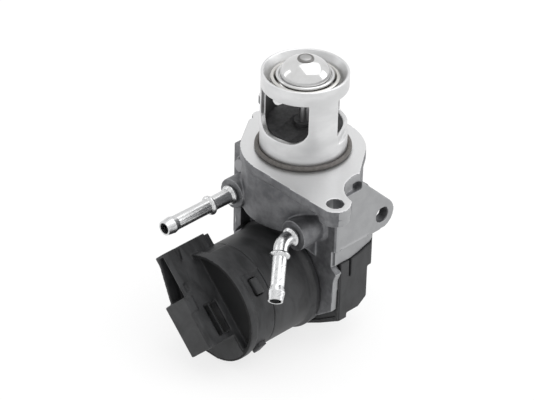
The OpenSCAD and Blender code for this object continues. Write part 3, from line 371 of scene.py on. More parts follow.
def moulded_plastic(name, tone, rough=0.46, grain_size=0.45, streak=(0.4, 1.0, 0.4),
                    shade_end_face=False, shine=0.36):
    """Glass-filled moulding: fine grain, flow streaks, edges lightened as rubbed wear and painted highlight;
    an end face is duller, and darker with painted shade.
    """
    f = Finish(name)
    grain = f.noise(grain_size, 4, 0.6)
    flow = f.noise(6, 4, 0.6, stretch=streak, distortion=0.6)
    light = tuple(c * 1.55 + 0.004 for c in tone)
    dull = tuple(c * 0.75 for c in tone)
    colour = f.colour(flow.ramp(0.3, 0.7), dull, light)
    colour = f.colour(grain.ramp(0.55, 0.75) * 0.3, colour, light)
    if shade_end_face:
        # painted shade: the cap's -Y end face is darkened where its recess lies in shade
        painted_recess_shade = (f.ny * -1).over(0.7) * f.y.band(-66, -55)
        colour = f.colour(painted_recess_shade * 0.85, colour, tuple(c * 0.22 for c in tone))
        rough = rough + painted_recess_shade * 0.2
    # edges lightened by pointiness: partly rubbed wear, partly a painted highlight
    edge = f.point.ramp(0.53, 0.62)
    colour = f.colour(edge * 0.45, colour, tuple(c * 2.6 + 0.01 for c in tone))
    return f.finish(Base_Color=colour, Roughness=rough + flow.ramp(0.3, 0.8) * 0.12 - edge * 0.06,
                    Specular_IOR_Level=shine, Normal=f.bump(grain * 0.8 + flow * 0.5, 0.05, 0.7))


def rubber(name, tone, rough=0.6):
    """Moulded rubber with a dusty bloom."""
    f = Finish(name)
    bloom = f.noise(2.2, 4, 0.6)
    grain = f.noise(0.25, 3, 0.5)
    return f.finish(Base_Color=f.colour(bloom.ramp(0.35, 0.7), tone, tuple(c * 1.5 + 0.01 for c in tone)),
                    Roughness=rough + bloom * 0.15, Normal=f.bump(grain + bloom * 0.4, 0.04, 0.6))


def wound_copper():
    """Enamelled wire, laid in turns along the slots."""
    f = Finish("enamelled copper")
    turns = (f.radius(0, -74.5, "y") * 7.0 + f.x * 2.0).math("SINE")
    haze = f.noise(3, 3)
    tone = f.colour(haze, (0.42, 0.13, 0.05), (0.62, 0.24, 0.1))
    return f.finish(Base_Color=tone, Metallic=0.8, Roughness=0.3 + haze * 0.1,
                    Normal=f.bump(turns, 0.15, 0.7))


def green_board():
    """Printed board with solder resist over faint tracks."""
    f = Finish("circuit board")
    tracks = (f.x * 2.4).math("SINE").over(0.82).most((f.z * 1.7).math("SINE").over(0.9))
    weave = f.noise(0.6, 3)
    tone = f.colour(tracks * 0.6, (0.01, 0.07, 0.025), (0.03, 0.14, 0.05))
    return f.finish(Base_Color=tone, Roughness=0.3 + weave * 0.15,
                    Normal=f.bump(tracks + weave * 0.2, 0.04, 0.6))


BLACK = (0.026, 0.0265, 0.0278)
COVER_BLACK = (0.0195, 0.02, 0.0212)

FINISHES = {
    "cast": lambda: cast_aluminium(),
    "guide": lambda: shaded_bore(),
    "turned": lambda: turned_aluminium(),
    "polished": lambda: polished_steel(),
    "seat": lambda: polished_steel("lapped steel", (0.62, 0.61, 0.585), 0.24),
    "stem": lambda: valve_stem_steel(),
    "zinc": lambda: zinc_plate(),
    "turned_steel": lambda: steel("turned steel", (0.62, 0.62, 0.63)),
    "dark_steel": lambda: steel("dark steel", (0.32, 0.32, 0.33), 0.42),
    "bearing": lambda: steel("bearing steel", (0.66, 0.67, 0.68), 0.22, 0.15),
    "spring": lambda: steel("spring steel", (0.24, 0.25, 0.27), 0.35),
    "lamination": lambda: steel("laminated iron", (0.30, 0.31, 0.33), 0.45, 0.5),
    "magnet": lambda: steel("sintered magnet", (0.12, 0.12, 0.13), 0.55, 0.4),
    "brass": lambda: steel("brass", (0.68, 0.47, 0.19), 0.3, 0.4),
    "commutator": lambda: steel("commutator copper", (0.66, 0.34, 0.16), 0.3, 0.4),
    "copper": lambda: wound_copper(),
    "black": lambda: moulded_plastic("black moulding", BLACK),
    "black_cap": lambda: moulded_plastic("black cap moulding", BLACK, shade_end_face=True, shine=0.26),
    "black_cover": lambda: moulded_plastic("black cover moulding", COVER_BLACK, 0.42),
    "gear": lambda: moulded_plastic("white gear moulding", (0.62, 0.60, 0.52), 0.45),
    "card": lambda: moulded_plastic("brown card moulding", (0.10, 0.055, 0.03), 0.5),
    "board": lambda: green_board(),
    "seal": lambda: rubber("black seal rubber", (0.018, 0.018, 0.019)),
    "ring": lambda: rubber("brown ring rubber", (0.075, 0.069, 0.064), 0.45),
    "graphite": lambda: rubber("graphite", (0.05, 0.05, 0.055), 0.4),
    "tin": lambda: steel("tinned contact", (0.78, 0.76, 0.70), 0.25, 0.2),
}

NODE_FINISH = {
    "valve_housing": "cast", "valve_cage": "turned", "cage_ring": "ring", "seat_ring": "seat",
    "gas_guide": "guide", "guide_bush": "guide", "stem_seal": "seal", "poppet_head": "polished",
    "valve_stem": "stem", "crosshead": "dark_steel", "core_plug": "dark_steel",
    "coolant_pipe_straight": "zinc", "coolant_pipe_bent": "zinc", "crank_shaft": "turned_steel",
    "crank_roller": "bearing", "sector_gear": "gear", "sensor_magnet": "magnet",
    "output_bearing_front": "bearing", "output_bearing_rear": "bearing", "return_spring": "spring",
    "intermediate_gear": "gear", "intermediate_pin": "turned_steel", "motor_pinion": "brass",
    "motor_shaft": "turned_steel", "armature_core": "lamination", "armature_windings": "copper",
    "commutator": "commutator", "motor_housing": "black", "motor_can": "dark_steel",
    "motor_magnets": "magnet", "motor_bearing_front": "bearing", "motor_bearing_rear": "bearing",
    "brush_card": "card", "brushes": "graphite", "brush_springs": "spring", "motor_seal": "seal",
    "motor_screws": "zinc", "end_cap": "black_cap", "cap_seal": "seal", "connector_pins": "tin",
    "gear_cover": "black_cover", "cover_seal": "seal", "cover_screws": "zinc", "sensor_board": "board",
}
READY = {}


def finish_of(node_name):
    """The material of a CAD node, made the first time it is asked for."""
    name = NODE_FINISH[node_name]
    if name not in READY:
        READY[name] = FINISHES[name]()
    return READY[name]


def body_of(node_name):
    return NODES[node_name]["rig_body"]


# Mesh tools


def link(piece):
    bpy.context.scene.collection.objects.link(piece)
    return piece


def merged_copy(node_name, name):
    """A copy of a CAD node's mesh with its loose triangles joined."""
    mesh = NODES[node_name].data.copy()
    mesh.name = name
    edit = bmesh.new()
    edit.from_mesh(mesh)
    bmesh.ops.remove_doubles(edit, verts=edit.verts, dist=1e-6)
    edit.to_mesh(mesh)
    edit.free()
    return link(bpy.data.objects.new(name, mesh))


def applied(piece):
    """The piece's mesh with its modifiers made real, and the modifiers gone."""
    evaluated = piece.evaluated_get(bpy.context.evaluated_depsgraph_get())
    mesh = bpy.data.meshes.new_from_object(evaluated)
    old = piece.data
    piece.modifiers.clear()
    piece.data = mesh
    mesh.name = piece.name
    if old.users == 0:
        bpy.data.meshes.remove(old)
    return piece


def softened(node_name, name, voxel, smooth, keep):
    """A copy of a CAD node with cast or moulded edges: remeshed, smoothed and thinned."""
    piece = merged_copy(node_name, name)
    remesh = piece.modifiers.new("remesh", "REMESH")
    remesh.mode = "VOXEL"
    remesh.voxel_size = voxel * MM
    relax = piece.modifiers.new("relax", "SMOOTH")
    relax.factor = 0.5
    relax.iterations = smooth
    thin = piece.modifiers.new("thin", "DECIMATE")
    thin.ratio = keep
    applied(piece)
    piece.data.shade_smooth()
    piece.data.materials.clear()
    piece.data.materials.append(finish_of(node_name))
    return settle(piece, node_name)


def settle(piece, *node_names):
    """Puts a piece in place of CAD nodes, on the same body."""
    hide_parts(*node_names)
    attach(piece, body_of(node_names[0]))
    return piece


def lathe(node_name, name, outline, sides=144):
    """Turns a closed outline of (radius, height) in millimetres about the valve's axis."""
    edit = bmesh.new()
    rings = []
    for k in range(sides):
        a = 2 * math.pi * k / sides
        rings.append([edit.verts.new(mm(r * math.cos(a), r * math.sin(a), z)) for r, z in outline])
    for k in range(sides):
        near, far = rings[k], rings[(k + 1) % sides]
        for i in range(len(outline)):
            j = (i + 1) % len(outline)
            edit.faces.new((near[i], far[i], far[j], near[j]))
    bmesh.ops.remove_doubles(edit, verts=edit.verts, dist=1e-7)
    bmesh.ops.dissolve_degenerate(edit, edges=edit.edges, dist=1e-8)
    bmesh.ops.recalc_face_normals(edit, faces=edit.faces)
    mesh = bpy.data.meshes.new(name)
    edit.to_mesh(mesh)
    edit.free()
    mesh.shade_smooth()
    mesh.set_sharp_from_angle(angle=math.radians(38))
    mesh.materials.append(finish_of(node_name))
    return settle(link(bpy.data.objects.new(name, mesh)), node_name)


def arc(x, z, rx, rz, start, end, steps):
    """Points of an ellipse between two angles."""
    return [(x + rx * math.cos(math.radians(a)), z + rz * math.sin(math.radians(a)))
            for a in (start + (end - start) * i / steps for i in range(steps + 1))]


# Geometry Nodes


class Recipe(Nodes):
    """A Geometry Nodes tree with named inputs; lengths are millimetres."""

    def __init__(self, name, **inputs):
        super().__init__(bpy.data.node_groups.new(name, "GeometryNodeTree"))
        face = self.tree.interface
        face.new_socket("Geometry", in_out="INPUT", socket_type="NodeSocketGeometry")
        face.new_socket("Geometry", in_out="OUTPUT", socket_type="NodeSocketGeometry")
        face.new_socket("Material", in_out="INPUT", socket_type="NodeSocketMaterial")
        for label, default in inputs.items():
            kind = "NodeSocketInt" if isinstance(default, int) else "NodeSocketFloat"
            face.new_socket(label, in_out="INPUT", socket_type=kind).default_value = default
        self.source = self.tree.nodes.new("NodeGroupInput")

    def given(self, label):
        """An input as it is typed."""
        return Value(self, self.source.outputs[label])

    def length(self, label):
        """An input in millimetres, turned to metres."""
        return self.given(label) * MM

    def put(self, kind, *values, **settings):
        """A node with its first sockets given in order; returns its first output."""
        return self.add(kind, settings, dict(enumerate(values))).outputs[0]

    def joined(self, *parts):
        node = self.add("GeometryNodeJoinGeometry")
        for part in parts:
            self.tree.links.new(part, node.inputs[0])
        return node.outputs[0]

    def turned(self, geometry, rotation, move=(0, 0, 0)):
        return self.add("GeometryNodeTransform", {}, {
            "Geometry": geometry, "Rotation": [math.radians(a) for a in rotation],
            "Translation": mm(*move)}).outputs[0]

    def copies(self, points, piece):
        """The piece put on each of the points."""
        return self.add("GeometryNodeInstanceOnPoints", {}, {"Points": points, "Instance": piece}).outputs[0]

    def result(self, geometry):
        """Ends the tree."""
        real = self.put("GeometryNodeRealizeInstances", geometry)
        done = self.add("GeometryNodeSetMaterial", {}, {
            "Geometry": real, "Material": self.source.outputs["Material"]})
        self.add("NodeGroupOutput", {}, {0: done.outputs[0]})
        return self.tree


def grown(recipe, node_name, name, points, edges=(), angle=35, **values):
    """A piece grown by a recipe from points in millimetres, made a plain mesh that stands for a CAD node."""
    seed = bpy.data.meshes.new(name)
    seed.from_pydata([mm(*point) for point in points], edges, [])
    piece = link(bpy.data.objects.new(name, seed))
    modifier = piece.modifiers.new(name, "NODES")
    modifier.node_group = recipe
    values["Material"] = finish_of(node_name)
    for item in recipe.interface.items_tree:
        if item.in_out == "INPUT" and item.name in values:
            modifier[item.identifier] = values[item.name]
    applied(piece)
    if not piece.data.polygons:
        raise RuntimeError(name + " came out empty")
    piece.data.shade_smooth()
    piece.data.set_sharp_from_angle(angle=math.radians(angle))
    return settle(piece, node_name)


def pipe_recipe():
    """A tube along a path, with two rolled beads and a barb at its free end."""
    r = Recipe("Coolant pipe", BendRadius=10.0, Tube=4.0, Bore=3.1, BeadRise=1.5, RootBead=10.62,
               FreeBead=25.5, BarbRise=0.7, Margin=0.5)
    path = r.put("GeometryNodeMeshToCurve", r.source.outputs["Geometry"])
    bent = r.add("GeometryNodeFilletCurve", {"mode": "POLY"}, {
        "Curve": path, "Count": 28, "Radius": r.length("BendRadius")})
    fine = r.add("GeometryNodeResampleCurve", {"mode": "LENGTH"}, {
        "Curve": bent.outputs[0], "Length": 0.25 * MM})
    whole = Value(r, r.put("GeometryNodeCurveLength", fine.outputs[0]))
    trim = r.add("GeometryNodeTrimCurve", {"mode": "LENGTH"}, {"Curve": fine.outputs[0]})
    margin = r.length("Margin")
    r.tree.links.new(margin.socket, trim.inputs[4])
    r.tree.links.new((whole - margin).socket, trim.inputs[5])
    along = Value(r, r.add("GeometryNodeSplineParameter").outputs["Length"]) * (1 / MM)
    left = (whole - margin * 2) * (1 / MM) - along
    rise = r.given("BeadRise") + 0.6
    tube = r.given("Tube")
    radius = tube
    for bead in ("RootBead", "FreeBead"):
        off = (along - r.given(bead)) / (rise * 0.75)
        radius = radius.most(tube - 0.6 + rise * ((1 - off * off).most(0).math("SQRT")))
    barb = r.given("BarbRise")
    radius = radius.most(tube + barb * ((left - 8) * (-1 / 3)).math("MINIMUM", left * 0.2))
    outer = r.add("GeometryNodeCurveToMesh", {}, {
        "Curve": trim.outputs[0], "Profile Curve": circle(r, 56), "Scale": radius * MM, "Fill Caps": True})
    inner = r.add("GeometryNodeCurveToMesh", {}, {
        "Curve": fine.outputs[0], "Profile Curve": circle(r, 40),
        "Scale": r.length("Bore"), "Fill Caps": True})
    hollow = r.add("GeometryNodeMeshBoolean", {"operation": "DIFFERENCE", "solver": "EXACT"}, {
        "Mesh 1": outer.outputs[0]})
    r.tree.links.new(inner.outputs[0], hollow.inputs["Mesh 2"])
    return r.result(hollow.outputs[0])


def circle(r, sides, radius=1.0):
    """A circle curve about Z."""
    return r.add("GeometryNodeCurvePrimitiveCircle", {}, {"Resolution": sides, "Radius": radius}).outputs[0]


def bearing_recipe():
    """Two races and a ring of balls, their axis along Y."""
    r = Recipe("Ball bearing", Outer=8.0, Inner=4.0, Width=4.4, Race=1.2, Balls=9)
    outer, inner, race = r.length("Outer"), r.length("Inner"), r.length("Race")
    parts = []
    for middle in (outer - race / 2, inner + race / 2):
        profile = r.add("GeometryNodeCurvePrimitiveQuadrilateral", {}, {
            "Width": race, "Height": r.length("Width")})
        path = r.add("GeometryNodeSetCurveNormal", {"mode": "Z_UP"}, {"Curve": circle(r, 72, middle)})
        parts.append(r.add("GeometryNodeCurveToMesh", {}, {
            "Curve": path.outputs[0], "Profile Curve": profile.outputs[0]}).outputs[0])
    places = r.add("GeometryNodeMeshCircle", {}, {
        "Vertices": r.given("Balls"), "Radius": (outer + inner) / 2})
    ball = r.add("GeometryNodeMeshUVSphere", {}, {
        "Segments": 24, "Rings": 14, "Radius": (outer - inner - race * 2) / 2 + 0.15 * MM})
    parts.append(r.copies(places.outputs[0], ball.outputs[0]))
    real = r.turned(r.put("GeometryNodeRealizeInstances", r.joined(*parts)), (90, 0, 0))
    return r.result(r.copies(r.source.outputs["Geometry"], real))


def coil_recipe():
    """A wound wire, its axis along Y."""
    r = Recipe("Coil", Radius=6.2, Rise=3.2, Turns=2.6, Wire=0.5, Start=205.0)
    spiral = r.add("GeometryNodeCurveSpiral", {}, {
        "Resolution": 64, "Rotations": r.given("Turns"), "Start Radius": r.length("Radius"),
        "End Radius": r.length("Radius"), "Height": r.length("Rise"), "Reverse": True})
    wire = r.add("GeometryNodeCurveToMesh", {}, {
        "Curve": spiral.outputs[0], "Profile Curve": circle(r, 16),
        "Scale": r.length("Wire"), "Fill Caps": True})
    spin = r.add("ShaderNodeCombineXYZ", {}, {2: r.given("Start") * (-math.pi / 180)})
    round_it = r.add("GeometryNodeTransform", {}, {"Geometry": wire.outputs[0], "Rotation": spin.outputs[0]})
    laid = r.turned(round_it.outputs[0], (-90, 0, 0))
    return r.result(r.copies(r.source.outputs["Geometry"], laid))


def screw_recipe():
    """Hexagon screws with a washer face and a hexagon socket, pointing along -Y."""
    r = Recipe("Screws", Shank=1.6, Length=10.0, Head=2.2)
    shank, head = r.length("Shank"), r.length("Head")

    def rod(sides, radius, depth, middle):
        plain = r.add("GeometryNodeMeshCylinder", {}, {"Vertices": sides, "Radius": radius, "Depth": depth})
        lift = r.add("ShaderNodeCombineXYZ", {}, {2: middle})
        return r.add("GeometryNodeTransform", {}, {
            "Geometry": plain.outputs[0], "Translation": lift.outputs[0]}).outputs[0]

    top = rod(6, shank * 1.62, head, head / 2 + 0.9 * MM)
    key = rod(6, shank * 0.85, head, head + 0.9 * MM)
    socket = r.add("GeometryNodeMeshBoolean", {"operation": "DIFFERENCE", "solver": "EXACT"}, {"Mesh 1": top})
    r.tree.links.new(key, socket.inputs["Mesh 2"])
    washer = rod(48, shank * 2, 1 * MM, 0.5 * MM)
    body = rod(32, shank - 0.02 * MM, r.length("Length"), r.length("Length") * -0.5 + 0.3 * MM)
    laid = r.turned(r.joined(socket.outputs[0], washer, body), (-90, 0, 0))
    return r.result(r.copies(r.source.outputs["Geometry"], laid))


# Settings


class EgrShellSettings(bpy.types.PropertyGroup):
    cast_voxel: bpy.props.FloatProperty(
        name="Casting detail", description="Size of the casting's smallest detail, in millimetres",
        default=0.5, min=0.3, max=2.0)
    cast_smooth: bpy.props.IntProperty(
        name="Casting fillets", description="Rounds of smoothing on the casting's edges",
        default=3, min=0, max=30)
    cage_voxel: bpy.props.FloatProperty(
        name="Cage detail", description="Size of the cage's smallest detail, in millimetres",
        default=0.42, min=0.3, max=2.0)
    cage_smooth: bpy.props.IntProperty(
        name="Cage edges", description="Rounds of smoothing on the cage's edges",
        default=2, min=0, max=30)
    plastic_voxel: bpy.props.FloatProperty(
        name="Moulding detail", description="Size of the mouldings' smallest detail, in millimetres",
        default=0.5, min=0.3, max=2.0)
    plastic_smooth: bpy.props.IntProperty(
        name="Moulding rounds", description="Rounds of smoothing on the mouldings' edges",
        default=4, min=0, max=30)


class EgrValveSettings(bpy.types.PropertyGroup):
    lip: bpy.props.FloatProperty(
        name="Lip", description="Radius of the poppet's lip, in millimetres", default=15.6)
    lip_z: bpy.props.FloatProperty(
        name="Lip height", description="Height of the lip's middle, in millimetres", default=44.4)
    dome: bpy.props.FloatProperty(
        name="Dome", description="Radius of the dome's foot, in millimetres", default=13.5)
    dome_z: bpy.props.FloatProperty(
        name="Dome foot", description="Height of the dome's foot, in millimetres", default=45.1)
    dome_h: bpy.props.FloatProperty(
        name="Dome height", description="Rise of the dome, in millimetres", default=9.4)
    stem: bpy.props.FloatProperty(
        name="Stem", description="Diameter of the stem, in millimetres", default=5.5)
    rivet: bpy.props.FloatProperty(
        name="Rivet", description="Diameter of the riveted end, in millimetres", default=9.0)


class EgrPipeSettings(bpy.types.PropertyGroup):
    tube: bpy.props.FloatProperty(
        name="Tube", description="Diameter of the pipes, in millimetres", default=8.0)
    bore: bpy.props.FloatProperty(
        name="Bore", description="Diameter of their bores, in millimetres", default=6.2)
    bead: bpy.props.FloatProperty(
        name="Bead", description="Diameter over a bead, in millimetres", default=11.0)
    barb: bpy.props.FloatProperty(
        name="Barb", description="Diameter over the barb, in millimetres", default=9.4)
    root: bpy.props.FloatProperty(
        name="Root", description="Length inside the boss, in millimetres", default=9.0)
    first: bpy.props.FloatProperty(
        name="First straight", description="Length before the bend, in millimetres", default=4.0)
    bend: bpy.props.FloatProperty(
        name="Bend", description="Angle of the bend, in degrees", default=50.0)
    roll: bpy.props.FloatProperty(
        name="Roll", description="Way the bent pipe points, in degrees below X", default=45.0)
    bend_radius: bpy.props.FloatProperty(
        name="Bend radius", description="Radius of the bend, in millimetres", default=10.0)
    last: bpy.props.FloatProperty(
        name="Last straight", description="Length past the bend, in millimetres", default=29.0)


class EgrRepeatSettings(bpy.types.PropertyGroup):
    balls: bpy.props.IntProperty(
        name="Balls", description="Balls in each bearing", default=9, min=5, max=20)
    coil: bpy.props.FloatProperty(
        name="Spring", description="Radius of the return spring, in millimetres", default=6.2)
    wire: bpy.props.FloatProperty(
        name="Wire", description="Diameter of its wire, in millimetres", default=1.0)
    turns: bpy.props.FloatProperty(
        name="Turns", description="Turns of the return spring", default=2.6)


class EgrStageSettings(bpy.types.PropertyGroup):
    floor_colour: bpy.props.FloatVectorProperty(
        name="Floor", description="Colour of the floor", default=(0.9, 0.9, 0.9), size=3, subtype="COLOR")
    sky_edge: bpy.props.FloatProperty(
        name="Walls", description="Brightness of the studio at the horizon", default=0.6, min=0, max=4)
    sky_top: bpy.props.FloatProperty(
        name="Ceiling", description="Brightness of the studio overhead", default=1.05, min=0, max=4)
    key_shine: bpy.props.FloatProperty(
        name="Key light", description="Brightness of the soft box above", default=1.1, min=0, max=20)
    side_shine: bpy.props.FloatProperty(
        name="Side light", description="Brightness of the soft box on the right", default=1.2, min=0, max=20)
    edge_shine: bpy.props.FloatProperty(
        name="Edge light", description="Brightness of the strip on the left", default=1.0, min=0, max=20)


# Operators


class EGR_OT_finishes(bpy.types.Operator):
    """Give every CAD piece its finish"""
    bl_idname = "egr.finishes"
    bl_label = "Finishes"

    def execute(self, context):
        for node_name in NODE_FINISH:
            mesh = NODES[node_name].data
            mesh.materials.clear()
            mesh.materials.append(finish_of(node_name))
        return {"FINISHED"}


class EGR_OT_castings(bpy.types.Operator):
    """Make the cast housing and the turned cage with their soft edges"""
    bl_idname = "egr.castings"
    bl_label = "Castings"

    def execute(self, context):
        s = context.scene.egr_shells
        softened("valve_housing", "cast_housing", s.cast_voxel, s.cast_smooth, 0.4)
        softened("valve_cage", "turned_cage", s.cage_voxel, s.cage_smooth, 0.35)
        return {"FINISHED"}


class EGR_OT_mouldings(bpy.types.Operator):
    """Make the black mouldings with their soft edges"""
    bl_idname = "egr.mouldings"
    bl_label = "Mouldings"

    def execute(self, context):
        s = context.scene.egr_shells
        softened("end_cap", "moulded_end_cap", s.plastic_voxel, s.plastic_smooth, 0.5)
        softened("motor_housing", "moulded_motor_housing", s.plastic_voxel, s.plastic_smooth, 0.5)
        softened("gear_cover", "moulded_gear_cover", s.plastic_voxel, s.plastic_smooth, 0.5)
        return {"FINISHED"}


class EGR_OT_valve(bpy.types.Operator):
    """Turn the poppet's head and its stem"""
    bl_idname = "egr.valve"
    bl_label = "Poppet and stem"

    def execute(self, context):
        s = context.scene.egr_valve
        hole, lip = s.stem / 2 + 0.02, s.lip_z
        head = [(hole, 38), (8.5, 38), (12.9, 40.3), (s.lip - 0.15, lip - 0.85), (s.lip, lip - 0.3)]
        head += arc(s.lip - 0.9, lip, 0.9, 0.9, 0, 180, 14)
        head += [(s.dome, lip + 0.1)] + arc(0, s.dome_z, s.dome, s.dome_h, 0, 70, 30)
        rivet_z = s.dome_z + s.dome_h * math.sqrt(1 - (s.rivet / 2 / s.dome) ** 2)
        lathe("poppet_head", "turned_poppet_head", head + [(s.rivet / 2, rivet_z), (hole, rivet_z)])
        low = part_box("valve_stem")[0].z / MM
        end = rivet_z + 0.02
        edge = s.rivet / 2
        stem = [(0, low), (s.stem / 2 - 0.3, low), (s.stem / 2, low + 0.3), (s.stem / 2, end), (edge, end)]
        stem += [(edge - 0.08, end + 0.4), (edge - 0.3, end + 0.75), (edge - 0.7, end + 0.92),
                 (edge - 1.2, end + 0.9), (edge - 1.45, end + 0.72), (edge - 1.7, end + 0.9), (0, end + 0.97)]
        lathe("valve_stem", "turned_valve_stem", stem)
        return {"FINISHED"}


class EGR_OT_pipes(bpy.types.Operator):
    """Roll the two coolant pipes along their paths"""
    bl_idname = "egr.pipes"
    bl_label = "Coolant pipes"

    def execute(self, context):
        s = context.scene.egr_pipes
        sizes = {"Tube": s.tube / 2, "Bore": s.bore / 2, "BeadRise": (s.bead - s.tube) / 2,
                 "BarbRise": (s.barb - s.tube) / 2, "BendRadius": s.bend_radius, "RootBead": s.root + 1.62}
        recipe = pipe_recipe()
        low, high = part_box("coolant_pipe_straight")
        x, z = (low.x + high.x) / 2 / MM, (low.z + high.z) / 2 / MM
        start, stop = high.y / MM, low.y / MM
        grown(recipe, "coolant_pipe_straight", "rolled_pipe_straight",
              [(x, start + 0.5, z), (x, stop - 0.5, z)], [(0, 1)],
              FreeBead=start - stop - 32.5, **sizes)
        bend = math.radians(s.bend)
        back = s.bend_radius * math.tan(bend / 2)
        down = Vector((math.cos(math.radians(s.roll)), 0, -math.sin(math.radians(s.roll))))
        ahead = Vector((0, -1, 0))
        beyond = down * math.sin(bend) + ahead * math.cos(bend)
        mouth = Vector((25, -31, -31))
        corner = mouth + ahead * (s.first + back)
        points = [mouth - ahead * (s.root + 0.5), corner, corner + beyond * (back + s.last + 0.5)]
        grown(recipe, "coolant_pipe_bent", "rolled_pipe_bent", points, [(0, 1), (1, 2)],
              FreeBead=s.root + s.first + s.bend_radius * bend + 3, **sizes)
        return {"FINISHED"}


class EGR_OT_repeats(bpy.types.Operator):
    """Make the bearings, the return spring and the screws"""
    bl_idname = "egr.repeats"
    bl_label = "Bearings, spring and screws"

    def execute(self, context):
        s = context.scene.egr_repeats
        bearing, coil, screws = bearing_recipe(), coil_recipe(), screw_recipe()
        for node_name in ("output_bearing_front", "output_bearing_rear",
                          "motor_bearing_front", "motor_bearing_rear"):
            low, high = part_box(node_name)
            middle = (low + high) / 2 / MM
            outer = (high.x - low.x) / 2 / MM
            inner = min(math.hypot(v.co.x / MM - middle.x, v.co.z / MM - middle.z)
                        for v in NODES[node_name].data.vertices)
            grown(bearing, node_name, "ball_" + node_name, [middle], Outer=outer, Inner=inner,
                  Width=(high.y - low.y) / MM, Race=min(1.2, (outer - inner) * 0.3), Balls=s.balls)
        low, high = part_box("return_spring")
        middle = (low + high) / 2 / MM
        grown(coil, "return_spring", "wound_return_spring", [(middle.x, low.y / MM + s.wire / 2, middle.z)],
              Radius=s.coil, Rise=(high.y - low.y) / MM - s.wire, Turns=s.turns, Wire=s.wire / 2, angle=60)
        for node_name, shank, places in (
                ("cover_screws", 1.6, [(-20, -79.4), (28, -47.5)]), ("motor_screws", 1.5, None)):
            low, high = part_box(node_name)
            centres = solids(node_name) if places is None else places
            top = high.y / MM
            seat = top - 3.2
            grown(screws, node_name, "hex_" + node_name, [(x, seat, z) for x, z in centres], Shank=shank,
                  Length=seat - low.y / MM + 0.3, Head=2.3, angle=30)
        return {"FINISHED"}


def solids(node_name):
    """The middles, in X and Z, of a CAD node's separate solids."""
    edit = bmesh.new()
    edit.from_mesh(NODES[node_name].data)
    bmesh.ops.remove_doubles(edit, verts=edit.verts, dist=1e-6)
    seen, middles = set(), []
    for vert in edit.verts:
        if vert.index in seen:
            continue
        island, queue = [], [vert]
        seen.add(vert.index)
        while queue:
            here = queue.pop()
            island.append(here.co.copy())
            for edge in here.link_edges:
                other = edge.other_vert(here)
                if other.index not in seen:
                    seen.add(other.index)
                    queue.append(other)
        xs, zs = [c.x for c in island], [c.z for c in island]
        middles.append(((min(xs) + max(xs)) / 2 / MM, (min(zs) + max(zs)) / 2 / MM))
    edit.free()
    return middles


CAMERA_RIGHT = Vector((0.6968, 0.7170, 0.0196))
CAMERA_UP = Vector((-0.4087, 0.3743, 0.8325))
CAMERA_BACK = Vector((0.5896, -0.5881, 0.5537))
CAMERA_FAR = 1500
CAMERA_LEFT = 19.13
CAMERA_DOWN = 28.72
CAMERA_LENS = 189.8
FLOOR_HALF = 3.0
FLOOR_WHITE = 0.75
LAMP_FAR = 0.9


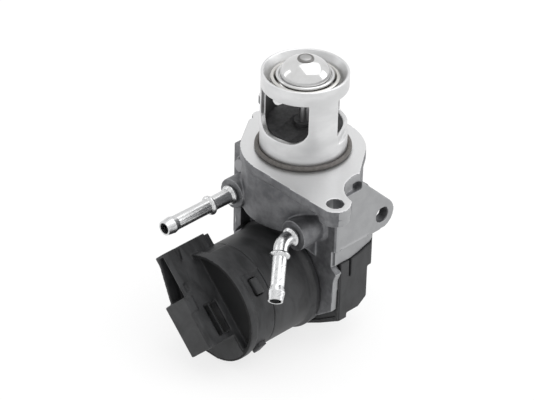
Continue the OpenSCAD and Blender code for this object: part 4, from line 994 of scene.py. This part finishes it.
class EGR_OT_stage(bpy.types.Operator):
    """Make the floor, the lights and the camera"""
    bl_idname = "egr.stage"
    bl_label = "Stage"

    def execute(self, context):
        s = context.scene.egr_stage
        self.floor(s)
        self.camera(context.scene)
        self.lights(context.scene, s)
        return {"FINISHED"}

    def floor(self, s):
        low = CAD_BOX[0][2]
        half = FLOOR_HALF
        mesh = bpy.data.meshes.new("floor")
        mesh.from_pydata([(-half, -half, low), (half, -half, low), (half, half, low), (-half, half, low)], [],
                         [(0, 1, 2, 3)])
        floor = link(bpy.data.objects.new("floor", mesh))
        f = Finish("floor")
        shadow = f.add("ShaderNodeBsdfDiffuse", {}, {"Color": (*s.floor_colour, 1)})
        plain = f.add("ShaderNodeEmission", {}, {"Color": (1, 1, 1, 1), "Strength": 1.0})
        bright = f.add("ShaderNodeMixShader", {}, {
            0: sees_background(f) * FLOOR_WHITE, 1: shadow.outputs[0], 2: plain.outputs[0]})
        f.add("ShaderNodeOutputMaterial", {}, {0: bright.outputs[0]})
        mesh.materials.append(f.material)

    def camera(self, scene):
        right, up, back = (v.normalized() for v in (CAMERA_RIGHT, CAMERA_UP, CAMERA_BACK))
        place = (back * CAMERA_FAR - right * CAMERA_LEFT - up * CAMERA_DOWN) * MM
        data = bpy.data.cameras.new("camera")
        data.lens = CAMERA_LENS
        data.sensor_width = 36
        data.sensor_fit = "HORIZONTAL"
        data.clip_start = 0.05
        camera = link(bpy.data.objects.new("camera", data))
        turn = Matrix((right, up, back)).transposed().to_4x4()
        camera.matrix_world = Matrix.Translation(place) @ turn
        scene.camera = camera

    def lights(self, scene, s):
        world = bpy.data.worlds.new("studio")
        scene.world = world
        world.use_nodes = True
        w = Nodes(world.node_tree)
        way = w.add("ShaderNodeTexCoord").outputs["Generated"]
        x, y, z = (Value(w, o) for o in w.add("ShaderNodeSeparateXYZ", {}, {0: way}).outputs)
        right = CAMERA_RIGHT.normalized()
        sky = z.ramp(-0.05, 0.7) * (s.sky_top - s.sky_edge) + s.sky_edge
        across = x * right.x + y * right.y
        side = across.ramp(-0.9, 0.7) * 0.25 + 0.95
        soft = w.add("ShaderNodeBackground", {}, {"Color": (1, 1, 1, 1), "Strength": sky * side})
        seen = w.add("ShaderNodeBackground", {}, {"Color": (1, 1, 1, 1), "Strength": 1.0})
        mixed = w.add("ShaderNodeMixShader", {}, {
            0: sees_background(w), 1: soft.outputs[0], 2: seen.outputs[0]})
        w.add("ShaderNodeOutputWorld", {}, {0: mixed.outputs[0]})
        middle = Vector((0, -0.02, -0.03))
        right, up, back = (v.normalized() for v in (CAMERA_RIGHT, CAMERA_UP, CAMERA_BACK))
        for name, direction, width, height, shine in (
                ("key", right * 0.35 + Vector((-0.1, 0.1, 1.0)), 0.9, 0.9, s.key_shine),
                ("side", right * 1.0 - back * 0.1 + Vector((0, 0, 0.25)), 0.5, 0.8, s.side_shine),
                ("edge", -right * 1.0 - back * 0.25 + Vector((0, 0, 0.5)), 0.2, 0.8, s.edge_shine)):
            data = bpy.data.lights.new(name, "AREA")
            data.shape = "RECTANGLE"
            data.size, data.size_y = width, height
            data.energy = shine * math.pi * width * height
            lamp = link(bpy.data.objects.new(name, data))
            aim = direction.normalized()
            facing = aim.to_track_quat("Z", "Y").to_matrix().to_4x4()
            lamp.matrix_world = Matrix.Translation(middle + aim * LAMP_FAR) @ facing
        scene.view_settings.view_transform = "Standard"


class EGR_PT_panel(bpy.types.Panel):
    """Lists the pieces and their sizes"""
    bl_label = "EGR Valve"
    bl_idname = "EGR_PT_panel"
    bl_space_type = "VIEW_3D"
    bl_region_type = "UI"
    bl_category = "EGR Valve"

    def draw(self, context):
        for operator in OPERATORS:
            self.layout.operator(operator.bl_idname)
        for name in GROUPS:
            group = getattr(context.scene, name)
            box = self.layout.box()
            for key in group.bl_rna.properties.keys():
                if key not in ("rna_type", "name"):
                    box.prop(group, key)


OPERATORS = (EGR_OT_finishes, EGR_OT_castings, EGR_OT_mouldings, EGR_OT_valve, EGR_OT_pipes, EGR_OT_repeats,
             EGR_OT_stage)
GROUPS = {"egr_shells": EgrShellSettings, "egr_valve": EgrValveSettings, "egr_pipes": EgrPipeSettings,
          "egr_repeats": EgrRepeatSettings, "egr_stage": EgrStageSettings}
CLASSES = (*GROUPS.values(), *OPERATORS, EGR_PT_panel)


def register():
    for cls in CLASSES:
        bpy.utils.register_class(cls)
    for name, cls in GROUPS.items():
        setattr(bpy.types.Scene, name, bpy.props.PointerProperty(type=cls))


def unregister():
    for name in GROUPS:
        delattr(bpy.types.Scene, name)
    for cls in reversed(CLASSES):
        bpy.utils.unregister_class(cls)


def main():
    register()
    for operator in OPERATORS:
        group, name = operator.bl_idname.split(".")
        getattr(getattr(bpy.ops, group), name)()


if __name__ == "__main__":
    main()
